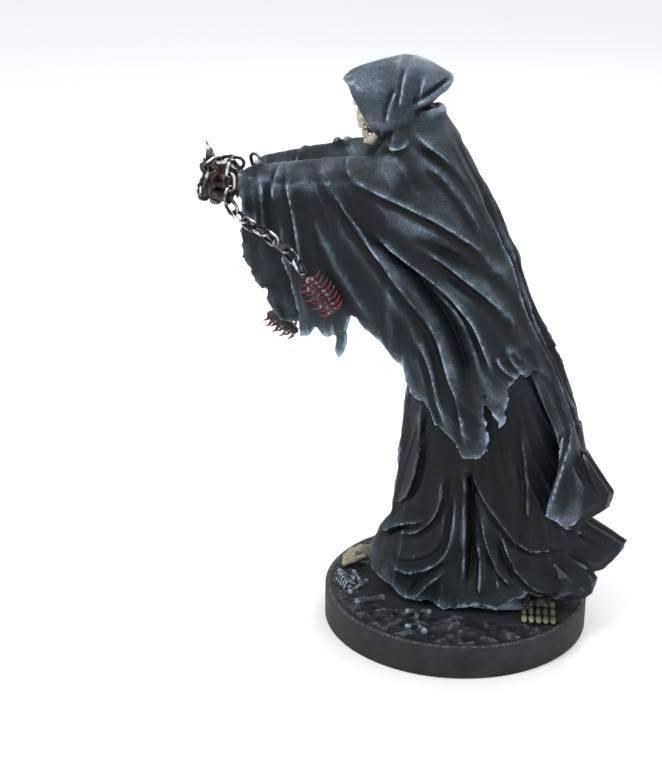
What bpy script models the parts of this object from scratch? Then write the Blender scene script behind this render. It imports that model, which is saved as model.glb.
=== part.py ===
# Hooded skeleton figure in a torn robe, leaning forward over a round plinth, with
# both arms held out in front and a two-headed chain flail in the hands.
import math

import bmesh
import bpy
import numpy as np
from mathutils import Vector

# Overall sizes in metres.
OVERALL_HEIGHT = 0.2159
BASE_DIAMETER = 0.1007
BASE_THICKNESS = 0.0128
EDGE_CHAMFER = 0.0006
RIM_WIDTH = 0.0016
RIM_STEP = 0.0005
GAP = 0.0003

# Flail, in metres.
LINK_LENGTH = 0.0072
LINK_WIDTH = 0.0052
LINK_WIRE = 0.0013
LINK_BITE = 0.00036
LINK_SIDES = 4
HEAD_CORE = 0.0054
CLAW_LENGTH = 0.0034
HEAD_ROWS = 8
HEAD_SIDES = 8
HANDLE_DIAMETER = 0.0040
GRIP_CLEARANCE = 0.0009

# The figure is drawn in shares of its own height: one unit is 1/201.7 of it, and
# the drawing counts heights from the foot of a plinth 12.7 units thick.
FIGURE_UNITS = 201.7
PLINTH_UNITS = 12.7
UNIT = (OVERALL_HEIGHT - BASE_THICKNESS) / FIGURE_UNITS
LIFT = BASE_THICKNESS - PLINTH_UNITS * UNIT
CLOTH = 3.0
HEM_INSET = 5.0
ROUNDNESS = 2.4
CELL = 1.15
MARGIN = 4.0
FIGURE_TRIANGLES = 6000
PLINTH_SIDES = 44

# What the figure stands on and holds, in its own units.
FOOT_LEVEL = PLINTH_UNITS + (GAP - RIM_STEP) / UNIT
RIM_START = (BASE_DIAMETER / 2 - RIM_WIDTH) / UNIT - 2.6
RIM_RAMP = 1.5
FOOTPRINT = (24.0, 40.0)
FOOTPRINT_BACK = 6.75
FOOTPRINT_POWER = 2.6
RIM_RISE = 1.8 * RIM_STEP / UNIT
GRIP_LOW = (4.0, -93.0, 157.0)
GRIP_HIGH = (4.0, -95.0, 173.0)
HANDLE_POINT = (3.8, -96.9, 180.2)
FINGER_TOP, FINGER_PITCH = 5.6, 3.5
HAND_REACH = 11.2
HANDS = [(5.0, -88.0, 166.0), (-6.5, -89.9, 163.5)]
GRIP_RADIUS = (HANDLE_DIAMETER / 2 + GRIP_CLEARANCE) / UNIT

# Profiles of the figure: the first number is a height, or a place from front to back
# where y is named, and the second is the size or place there.
ROBE_FRONT = [(12, -33.5), (26, -32.8), (31, -31), (35, -28.2), (39, -24.6), (44, -23.3), (53, -22),
              (61, -20.8), (70, -20.2), (80, -19.6), (95, -18.5), (112, -20)]
ROBE_BACK = [(12, 47), (27, 49), (45, 45), (60, 42), (80, 38), (95, 32.5), (106, 27), (116, 20.5), (125, 14)]
ROBE_HALF_WIDTH = [(12, 24), (22, 22), (35, 19), (50, 18), (80, 17), (112, 18)]
ROBE_TOP = 125.0
CAPE_BACK = [(16, 46), (50, 46.5), (60, 47), (71.7, 46.2), (77.5, 44.8), (87, 41), (96, 36.4), (106.5, 31.4),
             (117, 25.2), (124, 21), (130, 18.8), (137, 17), (144, 14.6), (151, 10.6), (160, 7),
             (167.5, 3.8), (172, 1.2), (180, -2.8), (189, -7.4), (194, -10.5)]
CAPE_HALF_WIDTH = [(45, 23), (60, 26), (75, 28), (90, 28.5), (105, 28), (125, 27), (145, 27), (160, 26.5),
                   (172, 25), (180, 21), (186, 16), (191, 11), (197, 8)]
CAPE_DEPTH = [(60, 31), (90, 30), (120, 28), (150, 26), (175, 21), (185, 15), (192, 10)]
CHEST_DEPTH = [(85, 20), (100, 18), (120, 14), (150, 15), (170, 17), (182, 12), (192, 8)]
CHEST_LOW = 117.0
NECK_TOP = 196.0
SLEEVE_HALF_WIDTH_BY_Y = [(-90, 12.5), (-80, 14), (-60, 18.5), (-40, 23), (-25, 26), (-15, 30)]
ARM_RADIUS_BY_Y = [(-76, 6.8), (-47, 7.5), (-25, 7.5)]

# Where the near hem's outline takes over from the far one, across the figure.
NEAR_CUT_REACH = [(5, 0), (22, 13)]

# Outlines in the side view, as (y, z) with y running from front to back.
ARM_LINE = [(-25, 175.6), (-47, 172), (-66, 168.6), (-76, 166.6)]
CAPE_TOP = [(70, 54), (70, 197), (-25, 197), (-25, 175.6), (-47, 172), (-66, 168.6)]
NEAR_HEM = [(-81.3, 171.2), (-80.4, 161.2), (-80.1, 155.6), (-72.4, 150.8), (-64.6, 145.1), (-62.9, 138.8),
            (-60.3, 131.1), (-58.5, 125.5), (-56.7, 114.5), (-53.0, 115.3), (-50.4, 118.6), (-48.1, 115.8),
            (-43.3, 116.4), (-42.9, 110.8), (-41.5, 107.6), (-39.8, 110.5), (-37.4, 126.0), (-32.2, 122.0),
            (-24.2, 115.1), (-17, 108.8), (-15, 101.0), (-11.6, 98.4), (-8.8, 98.1), (-5.2, 89.8),
            (1.1, 83.9), (6, 77), (10.7, 77.6), (14.5, 81.6), (15, 86.3), (12.1, 95.9),
            (12.5, 101.8), (14.9, 96.1), (18.3, 90.4), (20.5, 94.1), (19.9, 103.4), (22.2, 107.4),
            (24, 108.2), (27.8, 107.7), (31, 105.3), (35, 97.5), (38.5, 89.9), (41.4, 83.9), (38.7, 83.6),
            (38.8, 71.7), (36.6, 62.1), (35.5, 55), (39.9, 50.9), (44.4, 45.5), (45.8, 54)]
FAR_HEM = [(-87.6, 166.2), (-88.9, 143.3), (-89.0, 134.6), (-85.0, 127.6), (-83.1, 122.2), (-79.0, 119.1),
           (-79.4, 115.8), (-77.4, 113.2), (-74.6, 107.9), (-66.6, 107.0), (-60, 112), (-55.0, 109.5),
           (-47, 114), (-38, 122), (-30, 118), (-22, 108), (-17, 97), (-12, 93), (-6, 84), (2, 78), (10, 72),
           (14, 75), (20, 67), (26, 64), (30, 66), (34, 58), (39, 51), (44.4, 45.5), (45.8, 54)]
HOOD_SIDE = [(-48.4, 206.0), (-41, 209.6), (-33.8, 212.2), (-26, 214.4), (-21.4, 214.2), (-16, 212.6),
             (-7.6, 208.6), (-10.4, 202.3), (-12, 197.6), (-13.4, 193), (-16, 188), (-24, 184), (-31.5, 184),
             (-37.5, 192.4), (-43.5, 202.0)]
HOOD_HALF_WIDTH_BY_Y = [(-48, 9.8), (-42, 11.8), (-33, 12.5), (-24, 12.3), (-15, 9.5), (-7.6, 4.5)]
HOOD_ROUND_OVER = 9.0
NEAR_ROBE_HEM = [(-40, 22), (-30, 20), (-20, 17), (-13, 13.5), (-6.6, 16.5), (0.3, 14), (9.6, 14.5),
                 (13.2, 17), (19.9, 15.5), (24.5, 19.5), (32, 21.5), (40.4, 21), (44, 17), (50, 16)]
FAR_ROBE_HEM = [(-40, 24), (-33, 22), (-27, 16), (-20, 19), (-12, 15), (-4, 20), (3, 16), (12, 21), (20, 16),
                (28, 20), (36, 16), (44, 21), (50, 19)]

# Torn tongues of cloth at the back: place across, lean across, outline.
TONGUE_ROOT, TONGUE_TIP = 12.0, 5.0
TONGUE_ROUND_OVER = 6.0
PLEAT_DEPTH, PLEAT_WIDTH = 0.9, 6.5
TONGUES = [
    (5.0, 0.10, [(40, 78), (46.2, 73.4), (51.3, 68.1), (58.2, 60.9), (57.6, 56.8), (51.2, 52), (46, 47),
                 (38, 50)]),
    (0.0, -0.15, [(38, 50), (47.5, 45.2), (53.2, 42), (63.6, 36.4), (59.6, 31), (55.7, 26.7), (46, 24),
                  (38, 26)]),
    (7.0, 0.20, [(38, 36), (49.4, 32.1), (54.8, 26.6), (53.8, 22.6), (49.9, 19.2), (38, 18)]),
]

# Folds of the cloth in the side view: height (below zero for a valley), width, line.
CAPE_FOLDS = [
    (3.2, 9, [(-55, 179), (-46, 162), (-33, 142), (-21, 126), (-10, 113), (-4, 102), (2, 88)]),
    (-4.2, 8, [(-44, 158), (-31, 144), (-17, 133), (-5, 118), (3, 103), (8, 88)]),
    (2.4, 7, [(-48, 178), (-39, 170), (-28, 164), (-8, 157), (2, 152), (12, 146), (22, 139)]),
    (2.8, 6, [(-42, 155), (-29, 145), (-17, 137), (-7, 131), (3, 122), (11, 111), (16, 98)]),
    (2.8, 7, [(-13, 142), (-3, 138), (11, 129), (21, 122), (29, 113), (37, 102), (42, 90)]),
    (2.0, 7, [(-17, 195), (-4, 186), (5, 175), (9, 160)]),
    (2.0, 7, [(-12, 180), (-1, 173), (10, 158), (18, 146)]),
    (2.2, 7, [(-66, 174), (-66, 160), (-62, 140), (-59, 122)]),
    (-2.4, 6, [(-22, 141), (-4, 129), (8, 118), (17, 104)]),
    (1.6, 9, [(-52, 160), (-40, 138), (-28, 124)]),
]
HOOD_FOLDS = [
    (1.6, 4, [(-22, 213), (-22.5, 206), (-23.5, 198)]),
    (1.2, 4, [(-24, 206), (-27, 199), (-28, 192)]),
    (1.2, 4, [(-16, 210), (-16.5, 203), (-18, 199)]),
    (-3.4, 5, [(-9, 202), (-13, 199), (-19, 195.5)]),
    (1.8, 4, [(-7, 208), (-12, 203.5), (-19, 199)]),
    (1.4, 5, [(-44, 205), (-38, 196), (-33, 188)]),
]
ROBE_FOLDS = [
    (1.8, 5, [(-15, 98), (-15, 70), (-18, 62), (-24, 58)]),
    (2.2, 5, [(-27, 42), (-19, 43), (-9, 46)]),
    (2.2, 5, [(-26, 38), (-16, 38), (-4, 47), (-3, 65)]),
    (2.8, 6, [(2, 60), (1, 42), (-5, 32), (-20, 29), (-26, 33)]),
    (-4.0, 5, [(5, 73), (6, 50), (8, 18)]),
    (2.6, 5, [(10, 45), (13, 32), (12, 16)]),
    (2.8, 5, [(11, 56), (14, 37), (24, 22)]),
    (3.2, 6, [(6, 74), (12, 64), (22, 49), (31, 41), (42, 40)]),
    (2.8, 6, [(19, 48), (25, 34), (31, 27), (41, 23)]),
    (2.4, 6, [(1, 30), (-6, 24), (-14, 15)]),
    (2.0, 6, [(24, 88), (28, 68), (29, 50)]),
]
FAR_SHIFT = (2.0, 3.0)
FAR_STRENGTH = 0.85

# Chains and heads, as points along each; the far ones hang outside the far sleeve.
NEAR_CHAIN = [(12.5, -80.2, 174.8), (14.0, -82.7, 176.8), (15.0, -84.6, 173.3), (15.4, -83.8, 168.0),
              (16.0, -84.8, 160.4), (17.8, -79.5, 155.8), (21.2, -69.6, 152.5), (23.2, -62.4, 148.6),
              (25.2, -55.6, 143.6), (26.0, -54.0, 140.7)]
FAR_CHAIN = [(-15.4, -84.5, 171.0), (-17.4, -82.5, 160.0), (-18.2, -80.5, 150.0), (-18.6, -79.0, 140.0),
             (-19.0, -78.0, 130.0), (-19.4, -77.4, 120.0), (-19.5, -77.0, 110.1)]
NEAR_HEAD = [(26.4, -52.4, 139.1), (26.8, -42.0, 127.0)]
FAR_HEAD = [(-19.5, -81.0, 108.1), (-19.5, -68.6, 101.2)]

# Ground of the plinth in figure units: lumps as (x, y, spread, height), then bones
# as (start, end, radius).
LUMPS = [(32, 6, 4.5, 3.4), (40, -16, 6, 0.9), (33, -30, 6, 1.0), (8, -44, 5, 0.8), (-30, -20, 8, 1.4),
         (-36, 12, 7, 1.2), (-30, 30, 6, 1.0), (36, 26, 6, 0.8), (22, 41, 4, -0.8), (-20, -38, 6, 0.9)]
BONES = [((4.5, -44.8), (8.5, -38.5), 1.0), ((2.6, -39.5), (11.0, -34.5), 0.9),
         ((9.5, -43.0), (15.0, -38.0), 0.9), ((9.0, -33.0), (18.0, -37.0), 1.0),
         ((26.8, -31.9), (19.5, -24.5), 1.1), ((27.5, -12.5), (26.0, -5.0), 1.0),
         ((28.0, -9.0), (36.0, -7.0), 1.1), ((36.0, -7.0), (41.0, -3.5), 1.0),
         ((36.0, -7.5), (39.5, -10.0), 0.9), ((-32.0, 2.0), (-38.0, -8.0), 1.1)]


# Shapes as distance fields on a grid: below zero inside, above zero outside.
def profile(at, knots):
    """Value that runs through (position, value) pairs."""
    return np.interp(at, [k[0] for k in knots], [k[1] for k in knots]).astype(np.float32)


def soft_join(a, b, blend):
    """Union of two bodies with a fillet of the given size."""
    share = np.clip(0.5 + 0.5 * (b - a) / blend, 0.0, 1.0)
    return b + (a - b) * share - blend * share * (1.0 - share)


def rod(x, y, z, start, end, radius_start, radius_end):
    """Rod with round ends between two points."""
    ax, ay, az = start
    dx, dy, dz = end[0] - ax, end[1] - ay, end[2] - az
    length = dx * dx + dy * dy + dz * dz
    s = np.clip(((x - ax) * dx + (y - ay) * dy + (z - az) * dz) / length, 0.0, 1.0)
    away = np.sqrt((x - ax - s * dx) ** 2 + (y - ay - s * dy) ** 2 + (z - az - s * dz) ** 2)
    return away - (radius_start + (radius_end - radius_start) * s)


def egg(x, y, z, centre, radii):
    """Ellipsoid."""
    cx, cy, cz = centre
    rx, ry, rz = radii
    return (np.sqrt(((x - cx) / rx) ** 2 + ((y - cy) / ry) ** 2 + ((z - cz) / rz) ** 2) - 1.0) * min(radii)


def outline_distance(y, z, points):
    """Signed distance to a closed outline in the side view."""
    near = np.full(np.broadcast(y, z).shape, 1e3, dtype=np.float32)
    inside = np.zeros(near.shape, dtype=bool)
    for (ya, za), (yb, zb) in zip(points, points[1:] + points[:1]):
        ey, ez = yb - ya, zb - za
        s = np.clip(((y - ya) * ey + (z - za) * ez) / (ey * ey + ez * ez), 0.0, 1.0)
        near = np.minimum(near, np.hypot(y - ya - s * ey, z - za - s * ez))
        if za != zb:
            inside ^= ((za > z) != (zb > z)) & (y < ya + (z - za) / (zb - za) * ey)
    return np.where(inside, -near, near)


def folds(y, z, strokes):
    """Height of the cloth's crests and valleys over the side view."""
    total = np.zeros(np.broadcast(y, z).shape, dtype=np.float32)
    for height, width, points in strokes:
        lengths = [math.dist(a, b) for a, b in zip(points, points[1:])]
        best = np.full(total.shape, 1e3, dtype=np.float32)
        along = np.zeros(total.shape, dtype=np.float32)
        run = 0.0
        for a, b, length in zip(points, points[1:], lengths):
            ey, ez = b[0] - a[0], b[1] - a[1]
            s = np.clip(((y - a[0]) * ey + (z - a[1]) * ez) / (length * length), 0.0, 1.0)
            away = np.hypot(y - a[0] - s * ey, z - a[1] - s * ez)
            closer = away < best
            best = np.where(closer, away, best)
            along = np.where(closer, (run + s * length) / sum(lengths), along)
            run += length
        taper = np.clip(4.0 * along, 0.25, 1.0) * np.clip(4.0 * (1.0 - along), 0.25, 1.0)
        total += height * taper * np.clip(1.0 - best / width, 0.0, 1.0) ** 1.6
    return total


def pillow(x, edge, half_width, round_over):
    """Body with a given side outline that swells to a half width away from its edge."""
    ramp = np.clip(1.0 + edge / round_over, 0.0, None)
    return (np.sqrt((x / half_width) ** 2 + ramp ** 2) - 1.0) * np.minimum(half_width, round_over)


def rounded(across, half_width, along, power=ROUNDNESS):
    """Horizontal section between an ellipse and a rectangle; along is a share of its reach."""
    reach = ((np.abs(across) / half_width) ** power + np.abs(along) ** power) ** (1 / power)
    return (reach - 1.0) * half_width * 0.9


def both_sides(x, near, far):
    """Side-view values that change from the far to the near side across the middle."""
    share = np.clip(0.5 + x / 6.0, 0.0, 1.0)
    return near[None] * share + far[None] * (1.0 - share)


def relief(x, yy, zz, strokes):
    """Folds of both sides; the far side has the same ones, moved a little and lower."""
    shift_y, shift_z = FAR_SHIFT
    moved = [(height * FAR_STRENGTH, width, [(a + shift_y, b + shift_z) for a, b in line])
             for height, width, line in strokes]
    return both_sides(x, folds(yy, zz, strokes), folds(yy, zz, moved))


# The figure's pieces.
def robe_body(x, y, z, yy, zz):
    """Long robe from the waist to the ground, with its hem raised clear of a core."""
    front, back = profile(z, ROBE_FRONT), profile(z, ROBE_BACK)
    along = (y - (front + back) / 2) / ((back - front) / 2)
    plain = rounded(x, profile(z, ROBE_HALF_WIDTH), along, 2.6)
    hem = both_sides(x, profile(yy, NEAR_ROBE_HEM) + 0 * zz, profile(yy, FAR_ROBE_HEM) + 0 * zz)
    skin = np.maximum(plain - relief(x, yy, zz, ROBE_FOLDS), hem - z)
    return np.maximum(soft_join(skin, plain + HEM_INSET, 1.0), z - ROBE_TOP)


def cape_and_chest(x, y, z, yy, zz):
    """Cape with sleeves that hang open, over a solid chest and two arms."""
    cape_relief = relief(x, yy, zz, CAPE_FOLDS)
    depth = profile(z, CAPE_DEPTH)
    start = profile(z, CAPE_BACK) - depth
    half_width = np.minimum(profile(z, CAPE_HALF_WIDTH), profile(y, SLEEVE_HALF_WIDTH_BY_Y))
    skin = rounded(x, half_width, np.clip((y - start) / depth, 0.0, None)) - cape_relief
    near_cut = outline_distance(yy, zz, NEAR_HEM + CAPE_TOP)[None]
    far_cut = outline_distance(yy, zz, FAR_HEM + CAPE_TOP)[None]
    side_change = profile(y, NEAR_CUT_REACH)
    cape = np.maximum(np.maximum(skin, -skin - CLOTH), np.where(x > side_change, near_cut, far_cut))

    reach = np.where(y > start, (y - start) / depth, (start - y) / profile(z, CHEST_DEPTH))
    chest = rounded(x, half_width - 0.2 * CLOTH, reach) - cape_relief
    chest = np.maximum(np.maximum(chest, CHEST_LOW - z), z - NECK_TOP)

    arms = []
    for side in (1.0, -1.0):
        for (ya, za), (yb, zb) in zip(ARM_LINE, ARM_LINE[1:]):
            ra, rb = float(profile(ya, ARM_RADIUS_BY_Y)), float(profile(yb, ARM_RADIUS_BY_Y))
            xa = side * (float(profile(ya, SLEEVE_HALF_WIDTH_BY_Y)) - ra)
            xb = side * (float(profile(yb, SLEEVE_HALF_WIDTH_BY_Y)) - rb)
            arms.append(rod(x, y, z, (xa, ya, za), (xb, yb, zb), ra, rb))
    arms = np.minimum.reduce(arms) - 0.8 * cape_relief
    return soft_join(soft_join(cape, chest, 1.5), arms, 4.0)


def hooded_head(x, y, z, yy, zz):
    """Hood, hollow at the face, with the skull inside it."""
    side = outline_distance(yy, zz, HOOD_SIDE)[None]
    hood = pillow(x, side, profile(y, HOOD_HALF_WIDTH_BY_Y), HOOD_ROUND_OVER)
    hood = hood - folds(yy, zz, HOOD_FOLDS)[None]
    hood = np.maximum(hood, -egg(x, y, z, (0, -44, 196), (8.8, 15, 11)))
    skull = egg(x, y, z, (0, -30, 200), (7.6, 10.5, 8.5))
    skull = soft_join(skull, egg(x, y, z, (0, -36.5, 192.5), (5.2, 5.5, 5.5)), 2.0)
    skull = soft_join(skull, egg(x, y, z, (0, -35.5, 187), (4.6, 5, 3.6)), 1.5)
    for side in (1.0, -1.0):
        skull = np.maximum(skull, -egg(x, y, z, (side * 3.4, -40.5, 198.5), (2.3, 3.2, 2.2)))
    return np.minimum(hood, skull)


def bony_feet(x, y, z):
    """Near foot turned out under the hem, far foot pointing forward."""
    feet = [rod(x, y, z, (6, 33, 17), (14, 35.3, 16), 4.5, 3.5),
            rod(x, y, z, (-6, -28, 19), (-6, -40, 17), 5.0, 3.6)]
    for i in range(5):
        feet.append(rod(x, y, z, (14, 31.4 + 2 * i, 17), (23.8, 30.0 + 2.7 * i, 14.2), 1.4, 1.2))
        feet.append(rod(x, y, z, (-6, -36, 17), (-11.5 + 2.8 * i, -45.5 + 0.5 * abs(i - 2), 14.4), 1.5, 1.3))
    return np.minimum.reduce(feet)


def fist(x, y, z, hand):
    """Wrist and four curled fingers."""
    hx, hy, hz = hand
    parts = [rod(x, y, z, (hx, -80, 165.5), (hx, hy, hz), 4.2, 4.0)]
    for i in range(4):
        fz = hz + FINGER_TOP - FINGER_PITCH * i
        knuckle = (hx + 3.8, hy - 9.5, fz + 0.4)
        parts.append(rod(x, y, z, (hx + 3.6, hy - 1, fz), knuckle, 1.7, 1.7))
        parts.append(rod(x, y, z, knuckle, (hx - 3.4, hy - 8, fz), 1.7, 1.6))
    return np.minimum.reduce(parts)


def figure_field(x, y, z):
    """Distance field of the whole figure."""
    yy, zz = y[0], z[0]
    figure = soft_join(cape_and_chest(x, y, z, yy, zz), robe_body(x, y, z, yy, zz), 1.0)
    figure = soft_join(figure, hooded_head(x, y, z, yy, zz), 1.5)
    for middle, lean, outline in TONGUES:
        edge = outline_distance(yy, zz, outline)[None]
        root, tip = outline[0][0], max(p[0] for p in outline)
        across = x - middle - lean * (y - root)
        half_width = profile(y, [(root, TONGUE_ROOT), (tip, TONGUE_TIP)])
        pleats = PLEAT_DEPTH * np.cos(2 * math.pi * across / PLEAT_WIDTH)
        figure = soft_join(figure, pillow(across, edge + pleats, half_width, TONGUE_ROUND_OVER), 2.0)
    toe_arch = egg(x, y, z, (24, 35.5, 13), (9.5, 8.2, 8.5))
    figure = np.minimum(np.maximum(figure, -toe_arch), bony_feet(x, y, z))
    for hand in HANDS:
        figure = soft_join(figure, fist(x, y, z, hand), 1.0)
    figure = np.maximum(figure, -rod(x, y, z, GRIP_LOW, GRIP_HIGH, GRIP_RADIUS, GRIP_RADIUS))
    rim = np.clip((np.sqrt(x * x + y * y) - RIM_START) / RIM_RAMP, 0.0, 1.0) * RIM_RISE
    return np.maximum(figure, FOOT_LEVEL + rim - z)


# From a field to a mesh.
def corner_view(array, corner):
    """The array's values at one corner of every grid cell."""
    return array[tuple(slice(c, n - 1 + c) for c, n in zip(corner, array.shape))]


CORNERS = [(i, j, k) for i in (0, 1) for j in (0, 1) for k in (0, 1)]


def fill(parts, doubt):
    """Set the outside corners of the doubtful cells a little inside."""
    for part in parts:
        part[doubt & (part >= 0)] = -0.2 * CELL


def clear_doubts(field):
    """Fill the grid corners where two parts would meet along an edge or at a point only."""
    changed = True
    while changed:
        changed = False
        for axis in range(3):
            turned = np.moveaxis(field, axis, 0)
            inside = turned < 0
            p, q = inside[:, :-1, :-1], inside[:, 1:, :-1]
            r, s = inside[:, :-1, 1:], inside[:, 1:, 1:]
            doubt = (p == s) & (q == r) & (p != q)
            if doubt.any():
                changed = True
                width, height = turned.shape[1] - 1, turned.shape[2] - 1
                fill([turned[:, i:width + i, j:height + j] for i in (0, 1) for j in (0, 1)], doubt)
        inside = field < 0
        count = sum(corner_view(inside, c).astype(np.int8) for c in CORNERS)
        for i, j, k in CORNERS[:4]:
            one, two = corner_view(inside, (i, j, k)), corner_view(inside, (1 - i, 1 - j, 1 - k))
            doubt = ((count == 2) & one & two) | ((count == 6) & ~one & ~two)
            if doubt.any():
                changed = True
                fill([corner_view(field, c) for c in CORNERS], doubt)
    return field


def net(field, low):
    """Points and quads over the zero level of a field."""
    inside = field < 0
    count = sum(corner_view(inside, c).astype(np.int8) for c in CORNERS)
    active = (count > 0) & (count < 8)
    number = np.full(active.shape, -1, dtype=np.int64)
    number[active] = np.arange(int(active.sum()))
    values = {c: corner_view(field, c)[active] for c in CORNERS}
    total = np.zeros((int(active.sum()), 3))
    hits = np.zeros(int(active.sum()))
    for c in CORNERS:
        for axis in range(3):
            if c[axis]:
                continue
            d = tuple(1 if k == axis else c[k] for k in range(3))
            fa, fb = values[c], values[d]
            cross = (fa < 0) != (fb < 0)
            t = np.where(cross, fa / np.where(cross, fa - fb, 1.0), 0.0)
            total += (np.array(c, dtype=float) + t[:, None] * (np.array(d) - np.array(c))) * cross[:, None]
            hits += cross
    verts = (np.argwhere(active) + total / hits[:, None]) * CELL + np.array(low)
    quads = []
    for axis in range(3):
        b, c = (axis + 1) % 3, (axis + 2) % 3
        here = np.take(inside, range(field.shape[axis] - 1), axis)
        there = np.take(inside, range(1, field.shape[axis]), axis)
        places = np.argwhere(here != there)
        outward = here[tuple(places.T)]
        ring = []
        for step_b, step_c in ((1, 1), (0, 1), (0, 0), (1, 0)):
            cell = places.copy()
            cell[:, b] -= step_b
            cell[:, c] -= step_c
            ring.append(number[tuple(cell.T)])
        ring = np.stack(ring, axis=1)
        quads.append(np.where(outward[:, None], ring, ring[:, ::-1]))
    return verts, np.concatenate(quads)


# Mesh helpers.
def material(name, colour, roughness, metallic=0.0):
    made = bpy.data.materials.new(name)
    made.use_nodes = True
    shader = made.node_tree.nodes["Principled BSDF"]
    shader.inputs["Base Color"].default_value = (*colour, 1.0)
    shader.inputs["Roughness"].default_value = roughness
    shader.inputs["Metallic"].default_value = metallic
    return made


def new_object(name, verts, faces, paint):
    """Object from points and faces, with its faces turned outward."""
    mesh = bpy.data.meshes.new(name)
    mesh.from_pydata([tuple(map(float, v)) for v in verts], [], [tuple(map(int, f)) for f in faces])
    item = bpy.data.objects.new(name, mesh)
    bpy.context.scene.collection.objects.link(item)
    mesh.materials.append(paint)
    bm = bmesh.new()
    bm.from_mesh(mesh)
    bmesh.ops.recalc_face_normals(bm, faces=bm.faces[:])
    bm.to_mesh(mesh)
    bm.free()
    return item


def settle(item):
    """Replace an object's mesh with the result of its modifiers."""
    graph = bpy.context.evaluated_depsgraph_get()
    mesh = bpy.data.meshes.new_from_object(item.evaluated_get(graph))
    item.modifiers.clear()
    item.data = mesh


def unite(item, others):
    """Join bodies into one closed body."""
    for other in others:
        joint = item.modifiers.new("join", 'BOOLEAN')
        joint.operation = 'UNION'
        joint.solver = 'EXACT'
        joint.object = other
        settle(item)
        bpy.data.objects.remove(other, do_unlink=True)
    return item


def keep_main_shell(bm):
    """Delete every shell but the one with the most vertices."""
    seen, shells = set(), []
    for vert in bm.verts:
        if vert in seen:
            continue
        seen.add(vert)
        shell, stack = [], [vert]
        while stack:
            here = stack.pop()
            shell.append(here)
            for edge in here.link_edges:
                other = edge.other_vert(here)
                if other not in seen:
                    seen.add(other)
                    stack.append(other)
        shells.append(shell)
    shells.sort(key=len)
    for shell in shells[:-1]:
        bmesh.ops.delete(bm, geom=shell, context='VERTS')


def loft(rings, low_cap, high_cap):
    """Skin over rings of equal count, closed by a fan at each end."""
    count = len(rings[0])
    points = [p for r in rings for p in r] + [low_cap, high_cap]
    low, high, top = len(points) - 2, len(points) - 1, (len(rings) - 1) * count
    faces = []
    for i in range(count):
        j = (i + 1) % count
        faces.append((low, j, i))
        faces.append((high, top + i, top + j))
        for level in range(0, top, count):
            faces.append((level + i, level + j, level + count + j, level + count + i))
    return points, faces


def turned(axis_points, radii, sides, low_cap, high_cap):
    """Round piece about a straight axis, one radius for each point."""
    run = Vector(axis_points[-1]) - Vector(axis_points[0])
    side = run.cross(Vector((0.31, 0.17, 0.93))).normalized()
    up = run.normalized().cross(side)
    turns = [2 * math.pi * i / sides for i in range(sides)]
    rings = [[tuple(Vector(p) + r * (math.cos(t) * side + math.sin(t) * up)) for t in turns]
             for p, r in zip(axis_points, radii)]
    return loft(rings, low_cap, high_cap)


def place(point):
    """Point of the drawing in metres."""
    return Vector((point[0] * UNIT, point[1] * UNIT, point[2] * UNIT + LIFT))


for old in list(bpy.data.objects):
    bpy.data.objects.remove(old, do_unlink=True)

robe_paint = material("robe_paint", (0.035, 0.045, 0.058), 0.55)
base_paint = material("base_paint", (0.075, 0.080, 0.088), 0.6)
silver_paint = material("silver_paint", (0.45, 0.45, 0.46), 0.35, 0.7)
stained_paint = material("stained_paint", (0.35, 0.12, 0.12), 0.45, 0.3)

# Figure: the grid reaches a little past the drawing on every side.
reach_x = max(w for _, w in CAPE_HALF_WIDTH) + MARGIN
front = min(hand[1] for hand in HANDS) - HAND_REACH - MARGIN
rear = max(p[0] for _, _, outline in TONGUES for p in outline) + MARGIN
crown = max(p[1] for p in HOOD_SIDE) + MARGIN
low = (-reach_x, front, FOOT_LEVEL - MARGIN / 2)
x, y, z = (np.arange(a, b, CELL, dtype=np.float32) for a, b in zip(low, (reach_x, rear, crown)))
field = figure_field(x[:, None, None], y[None, :, None], z[None, None, :])
verts, quads = net(clear_doubts(field.astype(np.float32)), low)
verts[:, 2] = np.maximum(verts[:, 2], FOOT_LEVEL)
verts = verts * UNIT + np.array((0.0, 0.0, LIFT))
reaper = new_object("reaper", verts, quads, robe_paint)
bm = bmesh.new()
bm.from_mesh(reaper.data)
keep_main_shell(bm)
bmesh.ops.triangulate(bm, faces=bm.faces[:])
whole = len(bm.faces)
bm.to_mesh(reaper.data)
bm.free()
thin = reaper.modifiers.new("thin", 'DECIMATE')
thin.ratio = FIGURE_TRIANGLES / whole
thin.use_collapse_triangulate = True
settle(reaper)


# Plinth: a disc with a thin rim and sunken ground, flat where the figure stands.
def ground_height(gx, gy):
    """Rise of the ground in figure units."""
    share_x, share_y = abs(gx) / FOOTPRINT[0], abs(gy - FOOTPRINT_BACK) / FOOTPRINT[1]
    foot = (share_x ** FOOTPRINT_POWER + share_y ** FOOTPRINT_POWER) ** (1 / FOOTPRINT_POWER)
    free = min(max((foot - 1.0) * 4.0, 0.0), 1.0)
    rise = 0.35 * math.sin(0.55 * gx + 1.1) * math.cos(0.47 * gy) + 0.25 * math.sin(0.9 * gx + 1.3 * gy)
    for cx, cy, size, tall in LUMPS:
        rise += tall * math.exp(-((gx - cx) ** 2 + (gy - cy) ** 2) / (size * size))
    return rise * free


def circle(radius, level, on_ground=False):
    points = []
    for i in range(PLINTH_SIDES):
        angle = 2 * math.pi * i / PLINTH_SIDES
        px, py = radius * math.cos(angle), radius * math.sin(angle)
        rise = ground_height(px / UNIT, py / UNIT) * UNIT if on_ground else 0.0
        points.append((px, py, level + rise))
    return points


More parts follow.
